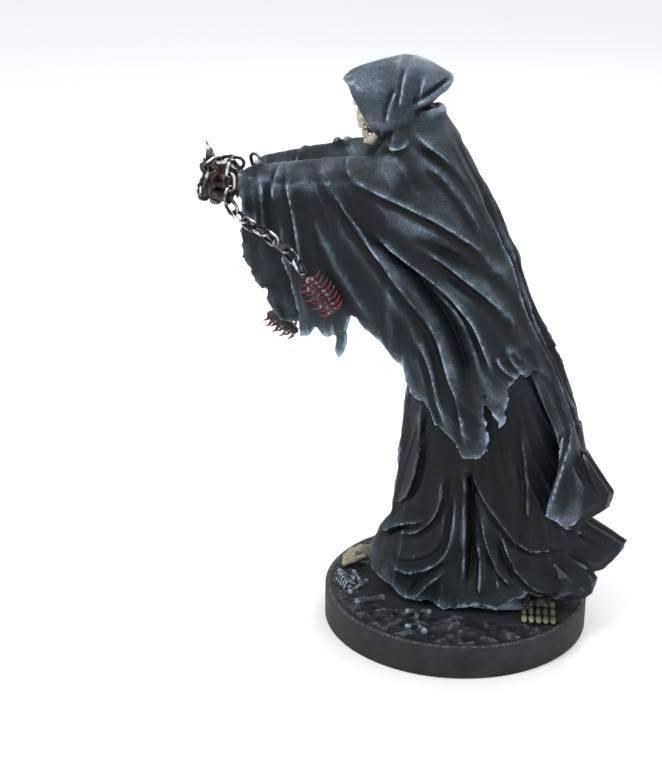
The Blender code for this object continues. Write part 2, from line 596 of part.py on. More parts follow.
radius = BASE_DIAMETER / 2
inner = radius - RIM_WIDTH
ground = BASE_THICKNESS - RIM_STEP
rings = [circle(radius, 0.0), circle(radius, BASE_THICKNESS - EDGE_CHAMFER),
         circle(radius - EDGE_CHAMFER, BASE_THICKNESS),
         circle(inner, BASE_THICKNESS), circle(inner - RIM_STEP, ground)]
rings += [circle(inner * share, ground, True) for share in (0.87, 0.73, 0.58, 0.35)]
base = new_object("base", *loft(rings, (0, 0, 0), (0, 0, ground)), base_paint)
remains = []
for (ax, ay), (bx, by), thick in BONES:
    start = Vector((ax * UNIT, ay * UNIT, ground + (ground_height(ax, ay) + 0.3 * thick) * UNIT))
    end = Vector((bx * UNIT, by * UNIT, ground + (ground_height(bx, by) + 0.3 * thick) * UNIT))
    spine = [start, start.lerp(end, 0.22), start.lerp(end, 0.78), end]
    knob = (end - start).normalized() * 0.8 * thick * UNIT
    widths = [thick * UNIT * swell for swell in (1.5, 1.0, 1.0, 1.5)]
    remains.append(new_object("bone", *turned(spine, widths, 6, start - knob, end + knob), base_paint))
unite(base, remains)


# Flail.
def link(centre, along, across, length, steps):
    """One oval link, its facets enclosing the section of round wire."""
    out = along.cross(across)
    straight = (length - LINK_WIDTH) / 2
    loop = (LINK_WIDTH - LINK_WIRE) / 2
    flat_area = LINK_SIDES / 2 * math.sin(2 * math.pi / LINK_SIDES)
    thick = LINK_WIRE / 2 * math.sqrt(math.pi / flat_area)
    points, faces = [], []
    for i in range(steps):
        t = 2 * math.pi * (i + 0.5) / steps
        shift = straight if math.cos(t) > 0 else -straight
        spine = centre + along * (shift + loop * math.cos(t)) + across * loop * math.sin(t)
        ray = along * math.cos(t) + across * math.sin(t)
        for j in range(LINK_SIDES):
            s = 2 * math.pi * (j + 0.5) / LINK_SIDES
            points.append(spine + thick * (math.cos(s) * ray + math.sin(s) * out))
            a, b, k = i * LINK_SIDES, ((i + 1) % steps) * LINK_SIDES, (j + 1) % LINK_SIDES
            faces.append((a + j, a + k, b + k, b + j))
    return points, faces


def chain(name, path, steps):
    """Links along a path, each turned a quarter from the last and fused where they cross."""
    path = [place(p) for p in path]
    stops = np.cumsum([0.0] + [(b - a).length for a, b in zip(path, path[1:])])
    pitch = LINK_LENGTH - 2 * LINK_WIRE + LINK_BITE
    count = max(2, round(stops[-1] / pitch))
    spots = [Vector([np.interp(i * stops[-1] / count, stops, [p[k] for p in path]) for k in range(3)])
             for i in range(count + 1)]
    pieces = []
    for i, (a, b) in enumerate(zip(spots, spots[1:])):
        along = (b - a).normalized()
        across = along.cross(Vector((1.0, 0.12, 0.2))).normalized()
        turn = math.radians(25 + 90 * (i % 2))
        across = math.cos(turn) * across + math.sin(turn) * along.cross(across)
        length = (b - a).length + LINK_LENGTH - pitch
        pieces.append(new_object(name, *link((a + b) / 2, along, across, length, steps), silver_paint))
    return unite(pieces[0], pieces[1:])


def clawed_head(name, ends, bare):
    """Spindle with rows of claws over every other facet, none on the side against the cloth."""
    low, high = place(ends[0]), place(ends[1])
    run = (high - low).normalized()
    side = run.cross(Vector((0.9, 0.3, 0.2))).normalized()
    up = side.cross(run)
    rings = []
    for row in range(HEAD_ROWS + 1):
        share = row / HEAD_ROWS
        reach = HEAD_CORE / 2 * math.sin(math.pi * (0.16 + 0.68 * share))
        middle = low.lerp(high, 0.04 + 0.92 * share)
        turns = [2 * math.pi * (i + 0.5) / HEAD_SIDES for i in range(HEAD_SIDES)]
        rings.append([tuple(middle + reach * (math.cos(t) * side + math.sin(t) * up)) for t in turns])
    points, plain = loft(rings, tuple(low), tuple(high))
    faces = []
    for face in plain:
        middle = sum((Vector(points[k]) for k in face), Vector()) / len(face)
        out = middle - low - run * (middle - low).dot(run)
        row, column = divmod(face[0], HEAD_SIDES)
        if len(face) == 3 or (row + column) % 2 or out.normalized().dot(Vector(bare)) > 0.35:
            faces.append(face)
            continue
        points.append(tuple(middle + out.normalized() * CLAW_LENGTH))
        tip = len(points) - 1
        faces += [(a, b, tip) for a, b in zip(face, face[1:] + face[:1])]
    return new_object(name, points, faces, stained_paint)


chain("flail_chain_near", NEAR_CHAIN, 7)
chain("flail_chain_far", FAR_CHAIN, 6)
clawed_head("flail_head_near", NEAR_HEAD, (-1, 0, 0))
clawed_head("flail_head_far", FAR_HEAD, (0.3, 0, 0.95))

# Handle between the fingers, with a ball at its foot and a point at its top.
foot, head = place(GRIP_LOW), place(GRIP_HIGH)
stations = [(0.0, 0.9), (0.06, 1.25), (0.14, 0.9), (0.93, 0.9), (0.96, 1.2), (1.0, 1.1), (1.12, 0.55)]
spine = [foot.lerp(head, share) for share, _ in stations]
widths = [HANDLE_DIAMETER / 2 * size for _, size in stations]
ball_end = foot.lerp(head, -0.04)
new_object("flail_handle", *turned(spine, widths, 8, ball_end, place(HANDLE_POINT)), silver_paint)
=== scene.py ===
import math

import bmesh
import bpy
import numpy as np
from mathutils import Matrix, Vector


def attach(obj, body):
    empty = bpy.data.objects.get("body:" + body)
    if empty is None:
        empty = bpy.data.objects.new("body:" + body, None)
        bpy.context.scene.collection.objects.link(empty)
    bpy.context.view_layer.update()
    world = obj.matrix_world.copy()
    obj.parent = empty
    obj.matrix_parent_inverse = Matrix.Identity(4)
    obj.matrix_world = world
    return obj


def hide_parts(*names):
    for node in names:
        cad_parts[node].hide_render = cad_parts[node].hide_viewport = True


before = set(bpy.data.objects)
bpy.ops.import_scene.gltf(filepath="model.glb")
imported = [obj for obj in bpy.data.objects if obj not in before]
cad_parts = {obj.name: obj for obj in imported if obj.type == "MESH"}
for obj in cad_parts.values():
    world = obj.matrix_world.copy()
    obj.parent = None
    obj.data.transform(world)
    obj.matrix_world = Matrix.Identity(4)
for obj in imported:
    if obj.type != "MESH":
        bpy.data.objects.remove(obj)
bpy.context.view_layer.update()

# The sweep and the studio: a pale floor, a pale room and three soft lights. The camera
# stands at the figure's left and a little behind it, above the hood, and looks down.
IMAGE_SIZE = (662, 760)
CAMERA_DISTANCE = 0.60420
CAMERA_HEIGHT = 0.33234
CAMERA_FOCUS = 1747.72
CAMERA_ROUND = math.radians(100)
CAMERA_ROLL, CAMERA_YAW, CAMERA_PITCH = 0.0099466, 0.0810816, 0.3735042


def turned_round(vector):
    """A direction or place given from in front of the camera's stand, in the part's frame."""
    c, s = math.cos(CAMERA_ROUND), math.sin(CAMERA_ROUND)
    return Vector((c * vector[0] - s * vector[1], s * vector[0] + c * vector[1], vector[2]))


ahead = Vector((-math.sin(CAMERA_YAW) * math.cos(CAMERA_PITCH), math.cos(CAMERA_YAW) * math.cos(CAMERA_PITCH),
                -math.sin(CAMERA_PITCH)))
level = ahead.cross(Vector((0, 0, 1))).normalized()
upright = level.cross(ahead)
right = math.cos(CAMERA_ROLL) * level + math.sin(CAMERA_ROLL) * upright
up = math.cos(CAMERA_ROLL) * upright - math.sin(CAMERA_ROLL) * level
stand = turned_round((0, -CAMERA_DISTANCE, CAMERA_HEIGHT))
columns = [turned_round(right), turned_round(up), turned_round(-ahead)]
lens = bpy.data.cameras.new("camera")
lens.sensor_width = 36
lens.lens = CAMERA_FOCUS * lens.sensor_width / max(IMAGE_SIZE)
camera = bpy.data.objects.new("camera", lens)
bpy.context.scene.collection.objects.link(camera)
rows = [[*(column[i] for column in columns), stand[i]] for i in range(3)]
camera.matrix_world = Matrix(rows + [[0, 0, 0, 1]])
bpy.context.scene.camera = camera
bpy.context.scene.view_settings.view_transform = 'Standard'

room = bpy.data.worlds.new("room")
room.use_nodes = True
room.node_tree.nodes["Background"].inputs["Color"].default_value = (0.95, 0.97, 1.0, 1.0)
room.node_tree.nodes["Background"].inputs["Strength"].default_value = 0.98
bpy.context.scene.world = room
TARGET = Vector((0, -0.01, 0.11))
LAMPS = [("key", (-0.35, -0.45, 0.75), 0.35, 4.0), ("fill", (0.7, -0.5, 0.35), 0.6, 0.8),
         ("rim", (0.3, 0.6, 0.7), 0.4, 3.5)]
for name, place, size, power in LAMPS:
    lamp = bpy.data.lights.new(name, 'AREA')
    lamp.size, lamp.energy = size, power
    holder = bpy.data.objects.new(name, lamp)
    bpy.context.scene.collection.objects.link(holder)
    holder.location = turned_round(place)
    holder.rotation_euler = (holder.location - TARGET).to_track_quat('Z', 'Y').to_euler()


class Feed:
    """A shader value that can be written in sums."""

    def __init__(self, finish, socket):
        self.finish, self.socket = finish, socket

    def maths(self, operation, *values, clamp=False):
        settings = {"operation": operation, "use_clamp": clamp}
        return self.finish.node("ShaderNodeMath", settings, dict(enumerate(values)))

    def __add__(self, other): return self.maths('ADD', self, other)
    def __radd__(self, other): return self.maths('ADD', other, self)
    def __sub__(self, other): return self.maths('SUBTRACT', self, other)
    def __rsub__(self, other): return self.maths('SUBTRACT', other, self)
    def __mul__(self, other): return self.maths('MULTIPLY', self, other)
    def __rmul__(self, other): return self.maths('MULTIPLY', other, self)

    def held(self):
        """Kept between 0 and 1."""
        return self.maths('ADD', self, 0.0, clamp=True)

    def ramp(self, low, high):
        """0 at low and 1 at high, eased between."""
        return self.finish.node("ShaderNodeMapRange", {"interpolation_type": 'SMOOTHSTEP'},
                                {"Value": self, "From Min": low, "From Max": high})


class Finish:
    """A paint finish and the nodes that make it."""

    def __init__(self, name):
        self.material = bpy.data.materials.new(name)
        self.material.use_nodes = True
        self.tree = self.material.node_tree
        self.shader = self.tree.nodes["Principled BSDF"]
        self.where = self.node("ShaderNodeTexCoord", {}, {}, out="Object")

    def node(self, kind, settings, inputs, out=0):
        made = self.tree.nodes.new(kind)
        for key, value in settings.items():
            setattr(made, key, value)
        self.join(made, inputs)
        return Feed(self, made.outputs[out])

    def join(self, node, inputs):
        for key, value in inputs.items():
            if isinstance(value, Feed):
                self.tree.links.new(value.socket, node.inputs[key])
            else:
                node.inputs[key].default_value = value

    def noise(self, scale, detail=3.0, roughness=0.6):
        return self.node("ShaderNodeTexNoise", {}, {"Vector": self.where, "Scale": scale, "Detail": detail,
                                                    "Roughness": roughness}, out=0)

    def mix(self, share, a, b):
        """Colour b laid over colour a by a share."""
        a, b = [v if isinstance(v, Feed) else (*v, 1.0) for v in (a, b)]
        return self.node("ShaderNodeMix", {"data_type": 'RGBA'}, {0: share, 6: a, 7: b}, out=2)

    def place(self, axis):
        """Metres along one axis of the part."""
        return self.node("ShaderNodeSeparateXYZ", {}, {0: self.where}, out=axis)

    def attribute(self, name):
        return self.node("ShaderNodeAttribute", {"attribute_name": name}, {}, out="Fac")

    def done(self, colour, roughness, height=None, depth=0.0001, metallic=0.0, specular=0.5):
        self.join(self.shader, {"Base Color": colour, "Roughness": roughness, "Metallic": metallic,
                                "Specular IOR Level": specular})
        if height is not None:
            relief = self.node("ShaderNodeBump", {}, {"Strength": 1.0, "Distance": depth, "Height": height})
            self.join(self.shader, {"Normal": relief})
        return self.material


sweep = Finish("pale_floor")
tone = sweep.noise(3.0)
floor_paint = sweep.done(sweep.mix(tone * 0.1, (0.90, 0.90, 0.90), (0.86, 0.86, 0.87)), 0.9 + tone * 0.02)
FLOOR_REACH, FLOOR_DROP = 6, 0.0002


def laid_out(name, points, faces, paint):
    """Smooth mesh piece from points in metres."""
    mesh = bpy.data.meshes.new(name)
    mesh.from_pydata([tuple(p) for p in points], [], [tuple(f) for f in faces])
    mesh.materials.append(paint)
    mesh.polygons.foreach_set("use_smooth", [True] * len(mesh.polygons))
    item = bpy.data.objects.new(name, mesh)
    bpy.context.scene.collection.objects.link(item)
    return item


signs = ((-1, -1), (1, -1), (1, 1), (-1, 1))
floor = laid_out("floor", [(sx * FLOOR_REACH, sy * FLOOR_REACH, -FLOOR_DROP) for sx, sy in signs],
                 [(0, 1, 2, 3)], floor_paint)


# The figure: hood, cape, sleeves and robe, one resin casting painted blue black and then
# dry-brushed pale blue grey, which leaves light crests and torn edges. It is drawn in
# shares of its own height, one unit being 1/201.7 of it.
OVERALL_HEIGHT = 0.2159
FIGURE_UNITS, PLINTH_UNITS = 201.7, 12.7
BASE_RADIUS = 0.1007 / 2
PLINTH_THICKNESS = 0.0128
RIM_WIDTH = 0.0016
FOOT_SINK = 0.0002
UNIT = (OVERALL_HEIGHT - PLINTH_THICKNESS) / FIGURE_UNITS
LIFT = PLINTH_THICKNESS - PLINTH_UNITS * UNIT
FOOT_LEVEL = PLINTH_UNITS - FOOT_SINK / UNIT
RIM_START, RIM_EASE, RIM_CLEARANCE = (BASE_RADIUS - RIM_WIDTH) / UNIT - 2.6, 1.5, 0.9
FIGURE_FRONT, FIGURE_BACK, FIGURE_TOP = -94.0, 68.0, 218.4
FIGURE_CELL = 0.62
FIGURE_FACES = 190000
ROUNDNESS, ROBE_ROUNDNESS = 2.4, 2.6
ROBE_TOP = 125.0
CHEST_FOOT, CHEST_TOP = 117.0, 196.0

ROBE_FRONT = [(12, -33.5), (26, -32.8), (31, -31), (35, -28.2), (39, -24.6), (44, -23.3), (53, -22),
              (61, -20.8), (70, -20.2), (80, -19.6), (95, -18.5), (112, -20)]
ROBE_BACK = [(12, 47), (27, 49), (45, 45), (60, 42), (80, 38), (95, 32.5), (106, 27), (116, 20.5), (125, 14)]
ROBE_HALF_WIDTH = [(12, 24), (22, 22), (35, 19), (50, 18), (80, 17), (112, 18)]
CAPE_BACK = [(16, 46), (50, 46.5), (60, 47), (71.7, 46.2), (77.5, 44.8), (87, 41), (96, 36.4), (106.5, 31.4),
             (117, 25.2), (124, 21), (130, 18.8), (137, 17), (144, 14.6), (151, 10.6), (160, 7),
             (167.5, 3.8), (172, 1.2), (180, -2.8), (189, -7.4), (194, -10.5)]
CAPE_HALF_WIDTH = [(45, 23), (60, 26), (75, 28), (90, 28.5), (105, 28), (125, 27), (145, 27), (160, 26.5),
                   (172, 25), (180, 21), (186, 16), (191, 11), (197, 8)]
CAPE_DEPTH = [(60, 31), (90, 30), (120, 28), (150, 26), (175, 21), (185, 15), (192, 10)]
CHEST_DEPTH = [(85, 20), (100, 18), (120, 14), (150, 15), (170, 17), (182, 12), (192, 8)]
SLEEVE_HALF_WIDTH = [(-90, 12.5), (-80, 14), (-60, 18.5), (-40, 23), (-25, 26), (-15, 30)]
ARM_RADIUS = [(-76, 6.8), (-47, 7.5), (-25, 7.5)]
ARM_LINE = [(-25, 175.6), (-47, 172), (-66, 168.6), (-76, 166.6)]
CAPE_TOP = [(70, 54), (70, 197), (-25, 197), (-25, 175.6), (-47, 172), (-66, 168.6)]
NEAR_HEM = [(-81.3, 171.2), (-80.4, 161.2), (-80.1, 155.6), (-72.4, 150.8), (-64.6, 145.1), (-62.9, 138.8),
            (-60.3, 131.1), (-58.5, 125.5), (-56.7, 114.5), (-53.0, 115.3), (-50.4, 118.6), (-48.1, 115.8),
            (-43.3, 116.4), (-42.9, 110.8), (-41.5, 107.6), (-39.8, 110.5), (-37.4, 126.0), (-32.2, 122.0),
            (-24.2, 115.1), (-17, 108.8), (-15, 101.0), (-11.6, 98.4), (-8.8, 98.1), (-5.2, 89.8),
            (1.1, 83.9), (6, 77), (10.7, 77.6), (14.5, 81.6), (15, 86.3), (12.1, 95.9),
            (12.5, 101.8), (14.9, 96.1), (18.3, 90.4), (20.5, 94.1), (19.9, 103.4), (22.2, 107.4),
            (24, 108.2), (27.8, 107.7), (31, 105.3), (35, 97.5), (38.5, 89.9), (41.4, 83.9), (38.7, 83.6),
            (38.8, 71.7), (36.6, 62.1), (35.5, 55), (39.9, 50.9), (44.4, 45.5), (45.8, 54)]
FAR_HEM = [(-87.6, 166.2), (-88.9, 143.3), (-89.0, 134.6), (-85.0, 127.6), (-83.1, 122.2), (-79.0, 119.1),
           (-79.4, 115.8), (-77.4, 113.2), (-74.6, 107.9), (-66.6, 107.0), (-60, 112), (-55.0, 109.5),
           (-47, 114), (-38, 122), (-30, 118), (-22, 108), (-17, 97), (-12, 93), (-6, 84), (2, 78), (10, 72),
           (14, 75), (20, 67), (26, 64), (30, 66), (34, 58), (39, 51), (44.4, 45.5), (45.8, 54)]
HOOD_SIDE = [(-48.4, 206.0), (-41, 209.6), (-33.8, 212.2), (-26, 214.4), (-21.4, 214.2), (-16, 212.6),
             (-7.6, 208.6), (-10.4, 202.3), (-12, 197.6), (-13.4, 193), (-16, 188), (-24, 184), (-31.5, 184),
             (-35.4, 187.4), (-39.0, 193.2), (-43.8, 202.0)]
HOOD_HALF_WIDTH = [(-48, 9.8), (-42, 11.8), (-33, 12.5), (-24, 12.3), (-15, 9.5), (-7.6, 4.5)]
HOOD_ROUND_OVER = 9.0
NEAR_ROBE_HEM = [(-40, 22), (-30, 20), (-20, 17), (-13, 13.5), (-6.6, 16.5), (0.3, 14), (9.6, 14.5),
                 (13.2, 17), (19.9, 15.5), (24.5, 19.5), (32, 21.5), (40.4, 21), (44, 17), (50, 16)]
FAR_ROBE_HEM = [(-40, 24), (-33, 22), (-27, 16), (-20, 19), (-12, 15), (-4, 20), (3, 16), (12, 21), (20, 16),
                (28, 20), (36, 16), (44, 21), (50, 19)]
TONGUES = [
    (5.0, 0.10, [(40, 78), (46.2, 73.4), (51.3, 68.1), (58.2, 60.9), (57.6, 56.8), (51.2, 52), (46, 47),
                 (38, 50)]),
    (0.0, -0.15, [(38, 50), (47.5, 45.2), (53.2, 42), (63.6, 36.4), (59.6, 31), (55.7, 26.7), (46, 24),
                  (38, 26)]),
    (7.0, 0.20, [(38, 36), (49.4, 32.1), (54.8, 26.6), (53.8, 22.6), (49.9, 19.2), (38, 18)]),
]
TONGUE_HALF_WIDTHS = (12.0, 5.0)
TONGUE_ROUND_OVER = 6.0
NEAR_CUT_REACH = [(5, 0), (22, 13)]
FACE_HOLLOW = ((0, -44, 196), (9.6, 15.5, 11.5))
TOE_ARCH = ((24.5, 35.3, 12.6), (10.5, 8.8, 8.0))
SLEEVE_KNOTS = [(9.0, -75.5, 174.2), (-12.4, -52.0, 179.2), (-12.8, -48.4, 179.6)]
KNOT_RADII = (2.0, 1.5, 1.5)

# Fans of fine folds: the point they spread from, their spacing, depth and seed.
ROBE_FAN = ((2.0, 150.0), 0.055, 0.65, 57)
FRONT_FAN = ((0.0, 190.0), 0.07, 0.7, 61)
CAPE_FAN = ((-78.0, 232.0), 0.062, 0.55, 51)
BACK_FAN = ((0.0, 290.0), 0.055, 0.7, 54)

# Creases of the cloth, seen from the side: height, width, then the line they follow.
TONGUE_CREASES = [
    (-2.2, 4, [(40, 86), (43, 71), (47, 57)]),
    (1.8, 3, [(44, 82), (49, 70), (55, 60)]),
    (1.5, 3, [(37.5, 76), (36.5, 64), (36, 55)]),
    (1.6, 3, [(40, 48), (50, 42), (61, 35)]),
    (1.4, 3, [(41, 36), (49, 33), (58, 30)]),
    (1.4, 3, [(38, 31), (46, 27), (53, 23)]),
]
CAPE_CREASES = [
    (3.4, 8, [(-52, 182), (-44, 170), (-30, 154), (-19, 140), (-8, 128), (-2, 118), (2, 96)]),
    (-4.4, 7, [(-40, 166), (-28, 155), (-15, 145), (-4, 132), (3, 118), (8, 100)]),
    (2.8, 6, [(-44, 181), (-38, 176), (-27, 172), (-9, 165), (-1, 160), (7, 153), (16, 141), (21, 129)]),
    (2.8, 5, [(-38, 163), (-27, 155), (-15, 148), (-7, 143), (2, 136), (9, 125), (14, 113), (16, 108)]),
    (3.0, 6, [(-12, 153), (-3, 149), (8, 140), (16, 131), (23, 120), (30, 109), (36, 96)]),
    (-2.2, 5, [(-16, 157), (-5, 153), (7, 146), (16, 136), (23, 125)]),
    (2.4, 5, [(-21, 192), (-9, 185), (0, 175), (6, 163)]),
    (2.0, 4, [(-13, 182), (-5, 176), (5, 162), (12, 149)]),
    (-1.8, 4, [(-17, 187), (-6, 180), (3, 169), (9, 155)]),
    (1.6, 3, [(-29, 186), (-22, 185), (-19, 188)]),
    (1.6, 3.5, [(-66, 176), (-68, 163)]),
    (2.0, 4, [(-63, 177), (-61, 166), (-57, 147), (-55, 132)]),
    (-1.4, 4, [(-70, 172), (-71, 158), (-67, 146)]),
    (1.0, 2.5, [(-41, 182), (-38, 176)]),
    (1.8, 5, [(-15, 124), (-7, 113), (-4, 99), (1, 86)]),
    (1.6, 4, [(-4, 121), (1, 107), (5, 92), (7, 81)]),
    (1.6, 3, [(18, 119), (21, 113), (27, 107)]),
    (1.3, 3, [(15, 117), (18, 111), (24, 107)]),
    (2.0, 3, [(24, 86), (28, 71), (29, 54)]),
    (1.6, 9, [(-52, 160), (-40, 138), (-28, 124)]),
    (2.4, 4, [(6.5, 176), (12, 164), (16.5, 151.6), (21.8, 147.5)]),
    (2.0, 4, [(-30, 157), (-18, 149), (-8, 142.4), (5.5, 132), (11, 122.4), (14, 109)]),
    (2.6, 2.8, [(20.5, 105), (24, 109.5), (28.5, 109), (32.5, 106), (36.5, 98), (40, 90.5), (42.5, 84),
                (40, 72), (37.8, 62), (36.8, 55)]),
    (1.6, 3, [(18, 119.5), (27.5, 109.4)]),
]
HOOD_CREASES = [
    (1.6, 3, [(-22, 213), (-22.5, 206), (-23.5, 198)]),
    (1.2, 3, [(-24, 206), (-27, 199), (-28, 192)]),
    (1.2, 3, [(-16, 210), (-16.5, 203), (-18, 199)]),
    (-3.4, 5, [(-9, 202), (-13, 199), (-19, 195.5)]),
    (1.8, 3, [(-7, 208), (-12, 203.5), (-19, 199)]),
    (1.4, 5, [(-44, 205), (-38, 196), (-33, 188)]),
]
ROBE_CREASES = [
    (2.2, 4, [(-29, 34), (-20, 42), (-9, 46)]),
    (2.2, 4, [(-20, 38), (-14, 39), (-4, 49), (-3, 67)]),
    (1.8, 4, [(-25, 46), (-19, 50), (-13, 64), (-13, 92)]),
    (2.8, 5, [(2, 60), (2, 40), (-3, 30), (-18, 24), (-23, 28)]),
    (-4.0, 5, [(7, 72), (8, 45), (9, 22)]),
    (2.4, 4, [(10, 41), (13, 34), (13, 20)]),
    (2.8, 4, [(11, 53), (16, 36), (25, 24)]),
    (3.4, 5, [(5, 70), (11, 61), (21, 48), (28, 41), (36, 39), (41, 40)]),
    (3.0, 5, [(19, 46), (25, 33), (31, 27), (39, 22)]),
    (2.2, 5, [(1, 29), (-6, 23), (-13, 14)]),
    (2.0, 5, [(24, 88), (28, 68), (29, 50)]),
]
FRONT_CREASES = [
    (2.0, 5, [(-9, 116), (-7, 70), (-12, 18)]),
    (1.8, 5, [(7, 116), (5, 70), (10, 18)]),
    (-2.2, 5, [(-1, 116), (0, 70), (-2, 20)]),
]
BACK_CREASES = [
    (2.6, 6, [(-2, 190), (-5, 160), (-7, 125), (-10, 80)]),
    (2.2, 6, [(5, 185), (7, 150), (5, 115), (9, 75)]),
    (-2.6, 6, [(1, 175), (0, 140), (-1, 100), (1, 70)]),
    (2.0, 6, [(-14, 165), (-16, 130), (-15, 90)]),
]


def profile(at, knots):
    """Value that runs through (position, value) pairs."""
    return np.interp(at, [k[0] for k in knots], [k[1] for k in knots]).astype(np.float32)


def soft_join(a, b, blend):
    """Two bodies run together with a fillet."""
    share = np.clip(0.5 + 0.5 * (b - a) / blend, 0.0, 1.0)
    return b + (a - b) * share - blend * share * (1.0 - share)


def rod(x, y, z, start, end, radius_start, radius_end):
    ax, ay, az = start
    dx, dy, dz = end[0] - ax, end[1] - ay, end[2] - az
    length = dx * dx + dy * dy + dz * dz
    s = np.clip(((x - ax) * dx + (y - ay) * dy + (z - az) * dz) / length, 0.0, 1.0)
    away = np.sqrt((x - ax - s * dx) ** 2 + (y - ay - s * dy) ** 2 + (z - az - s * dz) ** 2)
    return away - (radius_start + (radius_end - radius_start) * s)


def egg(x, y, z, centre, radii):
    cx, cy, cz = centre
    rx, ry, rz = radii
    return (np.sqrt(((x - cx) / rx) ** 2 + ((y - cy) / ry) ** 2 + ((z - cz) / rz) ** 2) - 1.0) * min(radii)


def outline_distance(y, z, points):
    """Signed distance to a closed outline seen from the side."""
    near = np.full(np.broadcast(y, z).shape, 1e3, dtype=np.float32)
    inside = np.zeros(near.shape, dtype=bool)
    for (ya, za), (yb, zb) in zip(points, points[1:] + points[:1]):
        ey, ez = yb - ya, zb - za
        s = np.clip(((y - ya) * ey + (z - za) * ez) / (ey * ey + ez * ez), 0.0, 1.0)
        near = np.minimum(near, np.hypot(y - ya - s * ey, z - za - s * ez))
        if za != zb:
            inside ^= ((za > z) != (zb > z)) & (y < ya + (z - za) / (zb - za) * ey)
    return np.where(inside, -near, near)


def grain(x, y, z, size, seed):
    """Smooth random waves between -1 and 1, from a seeded lattice."""
    cells = np.random.default_rng(seed).uniform(-1, 1, (32, 32, 32)).astype(np.float32)
    whole, part = [], []
    for axis in (x, y, z):
        scaled = np.asarray(axis, dtype=np.float64) / size
        floor_at = np.floor(scaled)
        t = (scaled - floor_at).astype(np.float32)
        whole.append(floor_at.astype(int))
        part.append(t * t * (3 - 2 * t))
    total = 0.0
    for i in (0, 1):
        for j in (0, 1):
            for k in (0, 1):
                weight = 1.0
                for t, far in zip(part, (i, j, k)):
                    weight = weight * (t if far else 1 - t)
                total = total + weight * cells[(whole[0] + i) % 32, (whole[1] + j) % 32, (whole[2] + k) % 32]
    return total


def flowing(points):
    """The same line with its kinks rounded off."""
    for _ in range(2):
        cut = [points[0]]
        for (ay, az), (by, bz) in zip(points, points[1:]):
            cut += [((1 - t) * ay + t * by, (1 - t) * az + t * bz) for t in (0.25, 0.75)]
        points = cut + [points[-1]]
    return points


def eased(value):
    """0 to 1, level at both ends."""
    held = np.clip(value, 0.0, 1.0)
    return held * held * (3.0 - 2.0 * held)


def creases(y, z, strokes):
    """Sharp crests and valleys laid along their lines, hollowed on the side that hangs under them."""
    total = np.zeros(np.broadcast(y, z).shape, dtype=np.float32)
    for height, width, points in strokes:
        points = flowing(points)
        lengths = [math.dist(a, b) for a, b in zip(points, points[1:])]
        best = np.full(total.shape, 1e3, dtype=np.float32)
        along = np.zeros(total.shape, dtype=np.float32)
        under = np.zeros(total.shape, dtype=bool)
        run = 0.0
        for a, b, length in zip(points, points[1:], lengths):
            ey, ez = b[0] - a[0], b[1] - a[1]
            s = np.clip(((y - a[0]) * ey + (z - a[1]) * ez) / (length * length), 0.0, 1.0)
            away = np.hypot(y - a[0] - s * ey, z - a[1] - s * ez)
            closer = away < best
            best = np.where(closer, away, best)
            along = np.where(closer, (run + s * length) / sum(lengths), along)
            under = np.where(closer, ey * (z - a[1]) - ez * (y - a[0]) < 0.0, under)
            run += length
        taper = eased(along / 0.3 + 0.1) * eased((1.0 - along) / 0.25 + 0.1)
        slope = 0.7 * np.clip(1.0 - best / (1.3 * width), 0.0, 1.0) ** 1.7
        ridge = 0.4 * np.exp(-best / (0.15 * width))
        hollow = np.where(under, 0.55 * np.exp(-((best / width - 0.42) / 0.26) ** 2), 0.0)
        total += height * taper * (slope + ridge - hollow)
    return total


def pleats(y, z, middle, spacing, depth, seed):
    """Fine folds that spread from a point, each one rising and dying away on its own."""
    lean = 0.035 * grain(0 * y, y, z, 26.0, seed)
    turn = (np.arctan2(z - middle[1], y - middle[0]) + lean) * math.pi / spacing
    strength = eased(0.55 + 0.9 * grain(0 * y, y, z, 15.0, seed + 2))
    second = 0.45 * (1.0 - np.abs(np.sin(1.7 * turn + 1.0))) ** 2
    clear = eased((np.hypot(y - middle[0], z - middle[1]) - 45.0) / 30.0)
    return depth * strength * clear * ((1.0 - np.abs(np.sin(turn))) ** 2.5 + second - 0.35)


def pillow(x, edge, half_width, round_over):
    """Body of a given side outline that swells to a half width away from its edge."""
    ramp = np.clip(1.0 + edge / round_over, 0.0, None)
    return (np.sqrt((x / half_width) ** 2 + ramp ** 2) - 1.0) * np.minimum(half_width, round_over)


def rounded(across, half_width, along, power=ROUNDNESS):
    """Upright body whose level cuts are rounded oblongs."""
    out = ((np.abs(across) / half_width) ** power + np.abs(along) ** power) ** (1 / power)
    return (out - 1.0) * half_width * 0.9


def both_sides(x, near, far):
    share = np.clip(0.5 + x / 6.0, 0.0, 1.0)
    return near[None] * share + far[None] * (1.0 - share)


def cloth_relief(x, yy, zz, strokes):
    """Creases of both sides; the far side has the same ones, a little moved and lower."""
    moved = [(h * 0.85, w, [(a + 2.0, b + 3.0) for a, b in line]) for h, w, line in strokes]
    return both_sides(x, creases(yy, zz, strokes), creases(yy, zz, moved))


